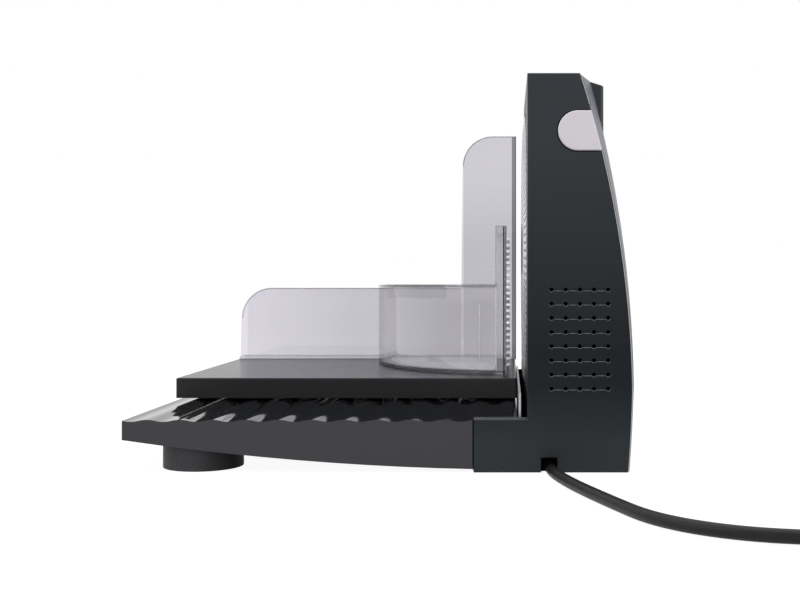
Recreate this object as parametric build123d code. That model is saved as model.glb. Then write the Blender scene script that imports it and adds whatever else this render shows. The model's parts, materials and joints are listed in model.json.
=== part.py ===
from build123d import *
import math
import os

os.makedirs("parts", exist_ok=True)

# Axes: X runs from the food table to the outer side, Y from the vented end to the user, Z up.
# All sizes in mm.

# Housing
FACE_X = 87.5            # blade side of the housing
NEAR_Y = -163.0          # vented end face
HOUSING_H = 250.0
WALL = 3.0
TOWER_DEPTH = 158.0      # motor tower, along Y
SPLIT_X = 115.4          # where the outer shells meet the housing
SKIRT_Z = 0.2            # lower edge of the walls above the bench
FOOT_X = 53.8            # left end of the ledge foot
FOOT_TOP = 33.2
FOOT_DEPTH = 14.0
RAIL_X = 82.3            # metal guide rail beside the table
RAIL_THICK = 1.3
RAIL_TOP = 48.0
SLOT_END_TOP = 45.4      # wall that closes the slot behind the rail
BAND_DEPTH = 31.0        # flared band behind the end face
COVER_WALL = 2.5
COVER_SHOULDER_X = 138.0
COVER_SHOULDER_SHARE = 0.144    # shoulder below the top, as a share of the height
COVER_SHOULDER_FALL = 2.8
SIDE_ROUND = 2.5
BULGE_HEIGHTS = (0.732, 0.208, 0.108)    # shares of the height where the outer edge is set
END_XS = (120.4, 138.4, 153.3, 152.4, 150.7)
BELLY_XS = (129.2, 144.7, 157.8, 156.7, 154.9)

# Vents
VENT_COLS = 5
VENT_ROWS = 8
VENT_PITCH = 8.85
VENT_DIA = 2.7
VENT_X = 102.6
VENT_Z = 52.5
VENT_GROOVE = 0.6

# Base
BASE_LEFT = -166.0
BASE_RIGHT = 81.0
BASE_SEAM = 53.2
BASE_FAR_Y = 84.0
BASE_TOP = 32.5
BASE_LOWS = (20.4, 7.9, 2.3)     # lower edge at the left end, the middle and the seam
WAVE_AMP = 0.65
WAVE_COUNT = 12
BASE_WALL = 3.0
BASE_CEILING = 27.5
PLATE_BOTTOM = 1.2
PLATE_TOP = 4.2
PLATE_RIGHT = 146.0
GROOVE_X = -127.1
GROOVE_WIDTH = 3.0
GROOVE_FLOOR = 24.0
SUCTION_R = 25.5
SUCTION_TOP = 18.0
SUCTION_RIM = 4.5
SUCTION_HOLLOW = 6.0
SUCTION_Y = (-134.4, 55.0)
PAD_R = 6.0

# Blade and drive
BLADE_BACK = 48.0        # blade axis behind the tower's far wall
BLADE_Z = 142.0
BLADE_R = 95.0
BLADE_X = 85.6
BLADE_THICK = 1.8
BLADE_TEETH = 110
CAP_PROUD = 0.4
SPINDLE_R = 5.0
RUN = 0.06               # radial running clearance of a shaft
MODULE = 1.25
GEAR_TEETH = 60
GEAR_X = 117.0
GEAR_WIDTH = 5.0
WORM_PITCH_R = 6.5
TOOTH_THICK = 1.4
SHAFT_R = 2.5
MOTOR_R = 24.0
MOTOR_SET_IN = 17.0      # motor behind the end face
MOTOR_SHARE = 0.31       # motor length as a share of the tower's depth
SHAFT_PAST = 22.0        # rotor shaft beyond the blade axis

# Gauge
GAUGE_X = 86.6
GAUGE_THICK = 2.5
GAUGE_BOTTOM = 46.0
GAUGE_TOP = 215.0
GAUGE_TRAVEL = 15.0
KNOB_TURN = 300.0        # degrees
COLUMN_X = 107.0
COLUMN_OUT_X = 138.0
COLUMN_DEPTH = 42.0
COLUMN_TOP = 212.0
COLUMN_WALL = 2.5
CAM_Z = 130.0
CAM_R = 12.0
PIN_X = 115.5
PIN_R = 2.0
ROD_R = 4.0
ROD_ZS = (90.0, 185.0)
KNOB_R = 26.0
KNOB_END_X = 166.0

# Food table
TABLE_RIGHT = 81.9
TABLE_NEAR_Y = -44.4
TABLE_FAR_Y = 161.4
TABLE_BOTTOM = 34.4
TABLE_TOP = 49.0
TABLE_SKIN = 2.5
GUARD_THICK = 3.0
GUARD_LEFT = -165.5
GUARD_RIGHT = 82.6
GUARD_LOW_TOP = 112.5
GUARD_TALL_X = 33.4
GUARD_TALL_TOP = 249.0
GUARD_ROUND = 27.0
FLANGE_DEEP = 8.0
PEG_R = 3.0
PEG_BACK = 4.2           # pegs in front of the guard
PEG_LONG = 9.0           # guard peg below the table's top

# Pusher
PUSHER_GAP = 0.4
PUSHER_TOP = 115.7
PUSHER_WALL = 2.5
PUSHER_HALF_X = 108.0
PUSHER_HALF_Y = 152.0
PUSHER_X = 70.4          # centre of the curved wall's ellipse
PUSHER_Y = 139.0
SPIKE_X = 72.8
SPIKE_THICK = 1.5
SPIKE_TOP = 161.0
SPIKE_PITCH = 2.3
SPIKE_DEEP = 2.6

# Button
BUTTON_X = 119.2
BUTTON_DROP = 36.0       # button centre below the top
BUTTON_R = 12.5
BUTTON_PROUD = 1.5
BUTTON_DEEP = 8.0
BUTTON_GAP = 0.4
BUTTON_TRAVEL = 3.5
STEM_X = 114.5
STEM_R = 2.5
STEM_LONG = 18.4         # stem end behind the end face
SEAT_BACK = 15.0
SWITCH_BACK = 24.0

# Cord
CORD_R = 3.5
CORD_X = 101.1
CORD_Z = 4.9
REST_Z = 3.7             # cord centre when it lies on the bench
COIL_R = 47.0
COIL_STEP = 9.2
COIL_LAYER = 7.8

TOWER_FAR_Y = NEAR_Y + TOWER_DEPTH
BLADE_Y = TOWER_FAR_Y - BLADE_BACK
MOTOR_NEAR_Y = NEAR_Y + MOTOR_SET_IN
MOTOR_FAR_Y = MOTOR_NEAR_Y + TOWER_DEPTH * MOTOR_SHARE
COLUMN_Y = BASE_FAR_Y - COLUMN_DEPTH
CAM_Y = BASE_FAR_Y - COLUMN_DEPTH / 2
BUTTON_Z = HOUSING_H - BUTTON_DROP
BULGE_ZS = [HOUSING_H] + [HOUSING_H * share for share in BULGE_HEIGHTS] + [SKIRT_Z]
END_ARC = list(zip(END_XS, BULGE_ZS))
BELLY_ARC = list(zip(BELLY_XS, BULGE_ZS))
BAND_FAR_Y = NEAR_Y + WALL + BAND_DEPTH
WORM_Z = BLADE_Z - MODULE * GEAR_TEETH / 2 - WORM_PITCH_R
TABLE_LEFT = BASE_LEFT
GUARD_Y = TABLE_FAR_Y - GUARD_THICK
PEG_Y = GUARD_Y - PEG_BACK


# Helpers

def block(x0, x1, y0, y1, z0, z1):
    return Pos((x0 + x1) / 2, (y0 + y1) / 2, (z0 + z1) / 2) * Box(x1 - x0, y1 - y0, z1 - z0)


def rod_x(x0, x1, y, z, r):
    return Pos((x0 + x1) / 2, y, z) * Rot(0, 90, 0) * Cylinder(r, x1 - x0)


def rod_y(y0, y1, x, z, r):
    return Pos(x, (y0 + y1) / 2, z) * Rot(90, 0, 0) * Cylinder(r, y1 - y0)


def rod_z(z0, z1, x, y, r):
    return Pos(x, y, (z0 + z1) / 2) * Cylinder(r, z1 - z0)


def on_xz(u, v):
    return (u, 0, v)


def on_yz(u, v):
    return (0, u, v)


def on_xy(u, v):
    return (u, v, 0)


def rounded_face(corners, place):
    """Face through corners (u, v, radius), with a tangent arc at each rounded corner."""
    stops = []
    edges = []
    for i, (u, v, r) in enumerate(corners):
        here = Vector(u, v)
        before = (Vector(*corners[i - 1][:2]) - here).normalized()
        after = (Vector(*corners[(i + 1) % len(corners)][:2]) - here).normalized()
        if r == 0:
            stops.append((here, here))
            continue
        half = math.radians(before.get_angle(after)) / 2
        reach = r / math.tan(half)
        start = here + before * reach
        stop = here + after * reach
        middle = here + (before + after).normalized() * (r / math.sin(half) - r)
        edges.append(ThreePointArc(place(start.X, start.Y), place(middle.X, middle.Y),
                                   place(stop.X, stop.Y)))
        stops.append((start, stop))
    for i, (start, _) in enumerate(stops):
        last = stops[i - 1][1]
        edges.append(Line(place(last.X, last.Y), place(start.X, start.Y)))
    return make_face(edges)


def run_y(face, y0, y1):
    return Pos(0, y0, 0) * extrude(face, y1 - y0, dir=(0, 1, 0))


def run_x(face, x0, x1):
    return Pos(x0, 0, 0) * extrude(face, x1 - x0, dir=(1, 0, 0))


def run_z(face, z0, z1):
    return Pos(0, 0, z0) * extrude(face, z1 - z0, dir=(0, 0, 1))


def group(pieces):
    return Compound(children=list(pieces))


def save(shape, node):
    export_step(shape, "parts/" + node + ".step")


# Housing

def shell_face(left, arc, inset=0.0, drop=0.0):
    """Outer section from a left edge to a belly arc, moved in by an inset."""
    top, shoulder, belly, low, foot = [on_xz(x - inset, z) for x, z in arc]
    height = HOUSING_H - inset
    floor = SKIRT_Z - drop
    top = (top[0], 0, height)
    foot = (foot[0], 0, floor)
    return make_face([
        Line(on_xz(left, floor), on_xz(left, height)),
        Line(on_xz(left, height), top),
        ThreePointArc(top, shoulder, belly),
        ThreePointArc(belly, low, foot),
        Line(foot, on_xz(left, floor)),
    ])


def end_edge_x(z):
    """X of the end face's outer edge at a height, on the circle through its upper three points."""
    (x1, z1), (x2, z2), (x3, z3) = END_ARC[:3]
    k1 = (x2 ** 2 - x1 ** 2 + z2 ** 2 - z1 ** 2) / 2
    k2 = (x3 ** 2 - x2 ** 2 + z3 ** 2 - z2 ** 2) / 2
    cross = (x2 - x1) * (z3 - z2) - (x3 - x2) * (z2 - z1)
    cx = (k1 * (z3 - z2) - k2 * (z2 - z1)) / cross
    cz = ((x2 - x1) * k2 - (x3 - x2) * k1) / cross
    return cx + math.sqrt((x1 - cx) ** 2 + (z1 - cz) ** 2 - (z - cz) ** 2)


def button_face(inset):
    """D outline of the button: round on the left, following the end face's edge on the right."""
    r = BUTTON_R - inset
    top = BUTTON_Z + r
    bottom = BUTTON_Z - r
    right = [on_xz(end_edge_x(z) - inset, z) for z in (bottom, BUTTON_Z, top)]
    return make_face([
        ThreePointArc(on_xz(BUTTON_X, top), on_xz(BUTTON_X - r, BUTTON_Z), on_xz(BUTTON_X, bottom)),
        Line(on_xz(BUTTON_X, bottom), right[0]),
        ThreePointArc(*right),
        Line(right[2], on_xz(BUTTON_X, top)),
    ])


def button_pocket(depth):
    """Room for the button, open at the outer side."""
    r = BUTTON_R + BUTTON_GAP
    room = rod_y(NEAR_Y - 5, NEAR_Y + depth, BUTTON_X, BUTTON_Z, r)
    return room + block(BUTTON_X, BUTTON_X + 30, NEAR_Y - 5, NEAR_Y + depth, BUTTON_Z - r, BUTTON_Z + r)


COVER_SCREWS = ((TOWER_FAR_Y - 25, HOUSING_H - 24), (TOWER_FAR_Y - 17, 24.0), (BAND_FAR_Y + 17, 24.0))
BASE_SCREWS = ((FOOT_X + 10, NEAR_Y + 8.5), (SPLIT_X + 23, NEAR_Y + 7), (FACE_X + 8, TOWER_FAR_Y - 35),
               (FACE_X + 16.5, TOWER_FAR_Y - 7))


def make_housing():
    top, shoulder, belly, low, foot = [on_xz(x, z) for x, z in END_ARC]
    outline = make_face([
        Polyline(foot, on_xz(FOOT_X, SKIRT_Z), on_xz(FOOT_X, FOOT_TOP), on_xz(FACE_X, FOOT_TOP),
                 on_xz(FACE_X, HOUSING_H), top),
        ThreePointArc(top, shoulder, belly),
        ThreePointArc(belly, low, foot),
    ])
    end = run_y(outline, NEAR_Y, NEAR_Y + WALL) - button_pocket(BUTTON_DEEP + 6)
    rim = end.faces().sort_by(Axis.Y)[0].edges().filter_by_position(Axis.Z, SKIRT_Z + 1, HOUSING_H + 1)
    end = fillet(rim, 0.8)
    for row in range(VENT_ROWS):
        z = VENT_Z + row * VENT_PITCH
        far_x = VENT_X + (VENT_COLS - 1) * VENT_PITCH
        groove = make_face(Polyline(on_yz(NEAR_Y - 0.1, z), on_yz(NEAR_Y + VENT_GROOVE, z - VENT_GROOVE),
                                    on_yz(NEAR_Y - 0.1, z - 2 * VENT_GROOVE), close=True))
        end -= run_x(groove, VENT_X - 3, far_x + 3)
        for col in range(VENT_COLS):
            end -= rod_y(NEAR_Y - 1, NEAR_Y + WALL + 1, VENT_X + col * VENT_PITCH, z, VENT_DIA / 2)

    side = block(FACE_X, FACE_X + WALL, NEAR_Y + WALL, TOWER_FAR_Y, PLATE_TOP, HOUSING_H)
    side -= rod_x(FACE_X - 1, FACE_X + 1.3, BLADE_Y, BLADE_Z, BLADE_R + 2.5)
    lid = block(FACE_X, SPLIT_X, NEAR_Y + WALL, TOWER_FAR_Y, HOUSING_H - WALL, HOUSING_H)
    back = block(FACE_X, SPLIT_X, TOWER_FAR_Y - WALL, TOWER_FAR_Y, PLATE_TOP, HOUSING_H)
    low = block(FACE_X, FACE_X + WALL, TOWER_FAR_Y, BASE_FAR_Y, PLATE_TOP, SLOT_END_TOP)
    slot_end = block(RAIL_X + RAIL_THICK, FACE_X + 1, BASE_FAR_Y - WALL, BASE_FAR_Y, PLATE_TOP + RAIL_THICK,
                     SLOT_END_TOP)
    foot = block(FOOT_X, FACE_X, NEAR_Y + WALL, NEAR_Y + FOOT_DEPTH, PLATE_TOP, FOOT_TOP)
    foot -= block(FOOT_X + WALL, FACE_X + 1, NEAR_Y + WALL - 1, NEAR_Y + FOOT_DEPTH - WALL,
                  PLATE_TOP - 1, FOOT_TOP - WALL)
    body = end + side + lid + back + low + slot_end + foot

    inner = FACE_X + WALL
    body += rod_x(inner - 1, GEAR_X - GEAR_WIDTH / 2 - 4, BLADE_Y, BLADE_Z, 13)
    for turn in range(3):
        rib = block(inner - 0.5, inner + 9, -36, 36, -1.25, 1.25)
        body += Pos(0, BLADE_Y, BLADE_Z) * Rot(30 + turn * 60, 0, 0) * rib
    body += rod_x(inner - 1, GEAR_X - GEAR_WIDTH / 2 - 4, BLADE_Y, BLADE_Z, 13)
    body -= rod_x(FACE_X + 1.3, GEAR_X, BLADE_Y, BLADE_Z, 8)
    body -= rod_x(FACE_X - 1, inner, BLADE_Y, BLADE_Z, 6.2)

    for y, z in COVER_SCREWS:
        body += rod_x(inner - 0.5, SPLIT_X, y, z, 4.5)
        body -= rod_x(SPLIT_X - 14, SPLIT_X + 1, y, z, 1.5)
    for x, y in BASE_SCREWS:
        body += rod_z(PLATE_TOP, 17, x, y, 4.5) - block(0, 200, NEAR_Y - 9, NEAR_Y + 1, 0, 30)
        body -= rod_z(PLATE_TOP - 1, 13, x, y, 1.5)
    x, y = BASE_SCREWS[2]
    body += block(inner - 0.5, x, y - 4.5, y + 4.5, PLATE_TOP, 17) - rod_z(0, 13, x, y, 1.5)

    saddle = block(CORD_X - 8, CORD_X + 8, NEAR_Y + WALL, NEAR_Y + 28, SKIRT_Z, 15)
    body += saddle
    body -= block(CORD_X - 5.2, CORD_X + 5.2, NEAR_Y - 1, NEAR_Y + WALL, SKIRT_Z - 1, 9.6)
    body -= rod_y(NEAR_Y, NEAR_Y + 27, CORD_X, CORD_Z, 4.6)
    body -= block(CORD_X - 4.6, CORD_X + 4.6, NEAR_Y + WALL, NEAR_Y + 27, 0, CORD_Z)

    seat_y = NEAR_Y + SEAT_BACK
    seat = block(inner - 0.5, STEM_X + 6, seat_y, seat_y + 2, BUTTON_Z - 7, BUTTON_Z + 7)
    body += seat - rod_y(seat_y - 1, seat_y + 3, STEM_X, BUTTON_Z, STEM_R + 0.35)
    switch_y = NEAR_Y + SWITCH_BACK
    body += block(inner - 0.5, SPLIT_X - 1, switch_y + 2, switch_y + 10, BUTTON_Z + 6, HOUSING_H - 1)
    return body


def make_rail():
    """Angle strip beside the table: a thin upright leg and a foot on the floor plate."""
    near = NEAR_Y + FOOT_DEPTH
    leg = block(RAIL_X, RAIL_X + RAIL_THICK, near, BASE_FAR_Y, PLATE_TOP, RAIL_TOP)
    return leg + block(RAIL_X, FACE_X, near, BASE_FAR_Y, PLATE_TOP, PLATE_TOP + RAIL_THICK)


def make_band():
    near = Pos(0, NEAR_Y + WALL, 0) * shell_face(SPLIT_X, END_ARC)
    far = Pos(0, BAND_FAR_Y, 0) * shell_face(SPLIT_X, BELLY_ARC)
    near_in = Pos(0, NEAR_Y + WALL, 0) * shell_face(SPLIT_X - 1, END_ARC, COVER_WALL, 2)
    far_in = Pos(0, BAND_FAR_Y, 0) * shell_face(SPLIT_X - 1, BELLY_ARC, COVER_WALL, 2)
    band = loft([near, far], ruled=True) - loft([near_in, far_in], ruled=True)
    return band - button_pocket(WALL + BUTTON_TRAVEL + 0.7)


def make_cover():
    shoulder_z = HOUSING_H * (1 - COVER_SHOULDER_SHARE)
    outer = run_y(shell_face(SPLIT_X, BELLY_ARC), BAND_FAR_Y, TOWER_FAR_Y)
    shoulder = make_face(Polyline(on_xz(SPLIT_X, shoulder_z), on_xz(SPLIT_X, HOUSING_H),
                                  on_xz(BELLY_XS[0], HOUSING_H),
                                  on_xz(COVER_SHOULDER_X, HOUSING_H - COVER_SHOULDER_FALL),
                                  on_xz(COVER_SHOULDER_X, shoulder_z), close=True))
    outer += run_y(shoulder, BAND_FAR_Y, TOWER_FAR_Y)
    near_edge = outer.edges().filter_by(Axis.Z).filter_by_position(Axis.X, COVER_SHOULDER_X - 0.1, 999)
    outer = fillet(near_edge, SIDE_ROUND)
    inner = run_y(shell_face(SPLIT_X - 1, BELLY_ARC, COVER_WALL, 2), BAND_FAR_Y - 1,
                  TOWER_FAR_Y - COVER_WALL)
    inner += block(SPLIT_X - 1, COVER_SHOULDER_X - COVER_WALL, BAND_FAR_Y + COVER_WALL,
                   TOWER_FAR_Y - COVER_WALL, shoulder_z - 8,
                   HOUSING_H - COVER_SHOULDER_FALL - COVER_WALL)
    cover = outer - inner
    cover -= block(SPLIT_X - 1, PLATE_RIGHT + 0.5, NEAR_Y, 0, -1, PLATE_TOP)
    for y, z in COVER_SCREWS:
        cover += rod_x(SPLIT_X, BELLY_XS[2], y, z, 5) & outer
        cover -= rod_x(SPLIT_X + 6, BELLY_XS[2] + 9, y, z, 3.6)
        cover -= rod_x(SPLIT_X - 1, SPLIT_X + 7, y, z, 1.5)
    return cover


# Base

def make_base():
    step = (BASE_RIGHT - BASE_LEFT) / (2 * WAVE_COUNT)
    wave = []
    for i in range(2 * WAVE_COUNT):
        x = BASE_LEFT + i * step
        crest = BASE_TOP + WAVE_AMP * (1 if i % 2 else -1)
        wave.append(ThreePointArc(on_xz(x, BASE_TOP), on_xz(x + step / 2, crest), on_xz(x + step, BASE_TOP)))
    left_low = on_xz(BASE_LEFT, BASE_LOWS[0])
    middle_low = on_xz((BASE_LEFT + BASE_SEAM) / 2, BASE_LOWS[1])
    seam_low = on_xz(BASE_SEAM, BASE_LOWS[2])
    section = make_face(wave + [
        Polyline(on_xz(BASE_RIGHT, BASE_TOP), on_xz(BASE_RIGHT, PLATE_BOTTOM), seam_low),
        ThreePointArc(seam_low, middle_low, left_low),
        Line(left_low, on_xz(BASE_LEFT, BASE_TOP)),
    ])
    outer = run_y(section, NEAR_Y, BASE_FAR_Y)
    cavity = block(BASE_LEFT + BASE_WALL, BASE_RIGHT - BASE_WALL, NEAR_Y + BASE_WALL,
                   BASE_FAR_Y - BASE_WALL, -1, BASE_CEILING)
    ribs = block(GROOVE_X - 5, GROOVE_X + 5, NEAR_Y, BASE_FAR_Y, GROOVE_FLOOR - 2.5, 30)
    for y in SUCTION_Y:
        ribs += rod_z(SUCTION_TOP, 30, GROOVE_X + 5, y, 20)
    for x in (-70, -15, 40):
        ribs += block(x - 1.1, x + 1.1, NEAR_Y, BASE_FAR_Y, 12, 30)
    for y in (-80, -20, 30):
        ribs += block(BASE_LEFT, BASE_RIGHT, y - 1.1, y + 1.1, 20, 30)
    base = outer - cavity + (ribs & outer)
    base -= block(GROOVE_X - GROOVE_WIDTH / 2, GROOVE_X + GROOVE_WIDTH / 2, NEAR_Y + 2 * BASE_WALL,
                  BASE_FAR_Y + 1, GROOVE_FLOOR, 40)
    wall_y = NEAR_Y + FOOT_DEPTH + 0.3
    base += block(BASE_SEAM - BASE_WALL, BASE_RIGHT, NEAR_Y, wall_y + BASE_WALL, 0, BASE_TOP - 2) & outer
    base -= block(BASE_SEAM, BASE_RIGHT + 1, NEAR_Y - 1, wall_y, -1, BASE_TOP + 9)
    base += block(BASE_SEAM, PLATE_RIGHT, NEAR_Y + WALL + 0.3, BASE_FAR_Y, PLATE_BOTTOM, PLATE_TOP)
    base -= block(CORD_X - 8.5, CORD_X + 8.5, NEAR_Y, NEAR_Y + 28.5, 0, 6)
    for x, y in BASE_SCREWS + COLUMN_SCREWS:
        base -= rod_z(0, PLATE_TOP + 1, x, y, 1.5)
        base -= rod_z(0, PLATE_BOTTOM + 1.4, x, y, 3.1)
    return base


COLUMN_SCREWS = ((114.0, 49.0), (131.0, 77.0))
PADS = ((74.0, -140.0), (130.0, -140.0), (74.0, 70.0), (122.0, 63.0))


def make_screw(x, y):
    head = rod_z(PLATE_BOTTOM + 0.2, PLATE_BOTTOM + 1.4, x, y, 3.0)
    head -= block(x - 2.2, x + 2.2, y - 0.4, y + 0.4, 0, PLATE_BOTTOM + 0.7)
    return head + rod_z(PLATE_BOTTOM + 1.4, 12, x, y, 1.5)


def make_side_screw(y, z):
    return rod_x(SPLIT_X - 12, SPLIT_X + 6, y, z, 1.5) + rod_x(SPLIT_X + 6, SPLIT_X + 8, y, z, 3.0)


def make_suction_foot(y):
    foot = rod_z(0, SUCTION_TOP, GROOVE_X + 5, y, SUCTION_R)
    foot = fillet(foot.faces().sort_by(Axis.Z)[0].edges(), 0.5)
    mouth = SUCTION_R - SUCTION_RIM
    ball = (mouth ** 2 + SUCTION_HOLLOW ** 2) / (2 * SUCTION_HOLLOW)
    dome = Pos(GROOVE_X + 5, y, SUCTION_HOLLOW - ball) * Sphere(ball)
    return foot - dome


# Blade and its drive

def make_blade():
    section = make_face(Polyline((7, 0, 0), (BLADE_R - 14, 0, 0), (BLADE_R, 0, BLADE_THICK - 0.35),
                                 (BLADE_R, 0, BLADE_THICK), (7, 0, BLADE_THICK), close=True))
    disc = revolve(section, Axis.Z)
    scallops = [spot * Cylinder(2.7, 8) for spot in PolarLocations(BLADE_R + 1.2, BLADE_TEETH)]
    disc -= scallops
    for spot in PolarLocations(13, 3):
        disc -= spot * Cylinder(1.6, 8)
    return Pos(BLADE_X, BLADE_Y, BLADE_Z) * Rot(0, 90, 0) * disc


def make_gear():
    pitch_r = MODULE * GEAR_TEETH / 2
    root = pitch_r - 1.5
    tip = pitch_r + 1.1
    slope = math.tan(math.radians(20))
    points = []
    for k in range(GEAR_TEETH):
        middle = -math.pi / 2 + (k + 0.5) * 2 * math.pi / GEAR_TEETH
        for r, side in ((root, -1), (tip, -1), (tip, 1), (root, 1)):
            half = (TOOTH_THICK / 2 + (pitch_r - r) * slope) / r
            points.append(on_yz(r * math.cos(middle + side * half), r * math.sin(middle + side * half)))
    rim = run_x(make_face(Polyline(*points, close=True)), -GEAR_WIDTH / 2, GEAR_WIDTH / 2)
    for side in (-1, 1):
        ring = rod_x(0, 9, 0, 0, root - 4) - rod_x(-1, 10, 0, 0, 11)
        rim -= Pos(1.2 if side > 0 else -10.2, 0, 0) * ring
    rim += rod_x(-GEAR_WIDTH / 2 - 3, GEAR_WIDTH / 2 + 3, 0, 0, 11)
    rim -= rod_x(-20, 20, 0, 0, SPINDLE_R)
    for turn in range(6):
        rim -= Rot(turn * 60 + 30, 0, 0) * rod_x(-9, 9, 22, 0, 6)
    return Pos(GEAR_X, BLADE_Y, BLADE_Z) * rim


def make_spindle():
    flange = rod_x(BLADE_X + BLADE_THICK, BLADE_X + BLADE_THICK + 1.2, BLADE_Y, BLADE_Z, 5.9)
    hub = rod_x(BLADE_X, BLADE_X + BLADE_THICK, BLADE_Y, BLADE_Z, 7)
    end = GEAR_X + GEAR_WIDTH / 2 + 3
    shaft = rod_x(BLADE_X + BLADE_THICK, end + 2, BLADE_Y, BLADE_Z, SPINDLE_R)
    return hub + flange + shaft


def make_blade_cap():
    cap = rod_x(BLADE_X - CAP_PROUD, BLADE_X, BLADE_Y, BLADE_Z, 18)
    cap = fillet(cap.faces().sort_by(Axis.X)[0].edges(), CAP_PROUD / 2)
    for turn in range(3):
        slot = rod_x(BLADE_X - 2, BLADE_X + 2, 12, 0, 1.6)
        cap -= Pos(0, BLADE_Y, BLADE_Z) * Rot(turn * 120, 0, 0) * slot
    return cap


def make_bush():
    start = FACE_X + 1.3
    stop = GEAR_X - GEAR_WIDTH / 2 - 3.3
    tube = rod_x(FACE_X + WALL, stop, BLADE_Y, BLADE_Z, 8)
    return tube - rod_x(start, stop + 1, BLADE_Y, BLADE_Z, SPINDLE_R + RUN)


def make_worm():
    lead = math.pi * MODULE
    turns = 5.5
    slope = math.tan(math.radians(20))
    tip = WORM_PITCH_R + 1.1
    root = WORM_PITCH_R - 1.6
    half_tip = TOOTH_THICK / 2 - 1.1 * slope
    half_root = TOOTH_THICK / 2 + 1.6 * slope
    thread_face = make_face(Polyline((root, 0, -half_root), (tip, 0, -half_tip), (tip, 0, half_tip),
                                     (root, 0, half_root), close=True))
    path = Helix(lead, lead * turns, WORM_PITCH_R)
    thread = sweep(thread_face, path, is_frenet=True)
    core = Pos(0, 0, lead * turns / 2) * Cylinder(WORM_PITCH_R - 1.5, lead * turns + 6)
    worm = core + thread
    worm -= Pos(0, 0, lead * turns / 2) * Cylinder(SHAFT_R, lead * turns + 20)
    return Pos(GEAR_X, BLADE_Y - 2.75 * lead, WORM_Z) * Rot(-90, 0, 0) * worm


def make_armature():
    shaft = rod_y(MOTOR_NEAR_Y - 11, BLADE_Y + SHAFT_PAST, GEAR_X, WORM_Z, SHAFT_R)
    core = rod_y(MOTOR_NEAR_Y + 10, MOTOR_FAR_Y - 8, GEAR_X, WORM_Z, 17)
    for turn in range(8):
        slot = Rot(0, turn * 45, 0) * block(-1.5, 1.5, MOTOR_NEAR_Y, MOTOR_FAR_Y, 9, 18)
        core -= Pos(GEAR_X, 0, WORM_Z) * slot
    return shaft + core


def make_fan():
    hub = rod_y(MOTOR_NEAR_Y - 9, MOTOR_NEAR_Y - 2, 0, 0, 6)
    for turn in range(9):
        vane = Pos(0, 0, 12) * Rot(0, 0, 35) * Box(9.5, 1.4, 15)
        hub += Rot(0, turn * 40, 0) * Pos(0, MOTOR_NEAR_Y - 5.5, 0) * vane
    hub -= rod_y(-200, 0, 0, 0, SHAFT_R)
    return Pos(GEAR_X, 0, WORM_Z) * hub


def make_motor_can():
    can = rod_y(MOTOR_NEAR_Y, MOTOR_FAR_Y, GEAR_X, WORM_Z, MOTOR_R)
    can -= rod_y(MOTOR_NEAR_Y + 2.5, MOTOR_FAR_Y - 2.5, GEAR_X, WORM_Z, MOTOR_R - 2)
    can -= rod_y(-200, 0, GEAR_X, WORM_Z, SHAFT_R + RUN)
    for turn in range(4):
        vent = Rot(0, turn * 90 + 45, 0) * rod_y(-40, 0, 13, 0, 3.5)
        can -= Pos(GEAR_X, (MOTOR_NEAR_Y + MOTOR_FAR_Y) / 2, WORM_Z) * vent
    return can


def make_magnets():
    ring = rod_y(MOTOR_NEAR_Y + 8, MOTOR_FAR_Y - 6, GEAR_X, WORM_Z, MOTOR_R - 2)
    ring -= rod_y(-200, 0, GEAR_X, WORM_Z, MOTOR_R - 5.5)
    return ring - block(GEAR_X - 40, GEAR_X + 40, -200, 0, WORM_Z - 5, WORM_Z + 5)


def make_frame():
    inner = FACE_X + WALL
    end = BLADE_Y + SHAFT_PAST - 1
    frame = block(inner, inner + 3, MOTOR_FAR_Y, end, WORM_Z - 12, WORM_Z + 7)
    frame += block(inner, GEAR_X + 20, MOTOR_FAR_Y, MOTOR_FAR_Y + 3, WORM_Z - 18, WORM_Z + 14)
    frame += block(inner, GEAR_X + 7, end - 4, end, WORM_Z - 10, WORM_Z + 6)
    frame -= rod_y(-200, 0, GEAR_X, WORM_Z, SHAFT_R + RUN)
    return frame


def make_switch():
    y = NEAR_Y + SWITCH_BACK
    body = block(STEM_X - 7, STEM_X + 3, y, y + 10, BUTTON_Z - 8, BUTTON_Z + 6)
    return body + rod_y(y - 1.4, y, STEM_X, BUTTON_Z, 1.6)


# Button

def make_button():
    cap = run_y(button_face(0), NEAR_Y - BUTTON_PROUD, NEAR_Y + WALL)
    cap = fillet(cap.faces().sort_by(Axis.Y)[0].edges(), 1.0)
    skirt = run_y(button_face(0), NEAR_Y + WALL, NEAR_Y + BUTTON_DEEP)
    button = cap + (skirt & block(0, BUTTON_X + 3, NEAR_Y, 0, 0, HOUSING_H))
    button -= run_y(button_face(2.2), NEAR_Y + 1, NEAR_Y + BUTTON_DEEP + 1)
    return button + rod_y(NEAR_Y + 0.5, NEAR_Y + STEM_LONG, STEM_X, BUTTON_Z, STEM_R)


def make_spring():
    start = NEAR_Y + 1.5
    length = NEAR_Y + SEAT_BACK - 0.5 - start
    path = Helix(length / 3.5, length, 3.8)
    coil = sweep(Plane(path @ 0, z_dir=path % 0) * Circle(0.45), path)
    return Pos(STEM_X, start, BUTTON_Z) * Rot(-90, 0, 0) * coil


# Gauge plate, its slide and the knob

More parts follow.
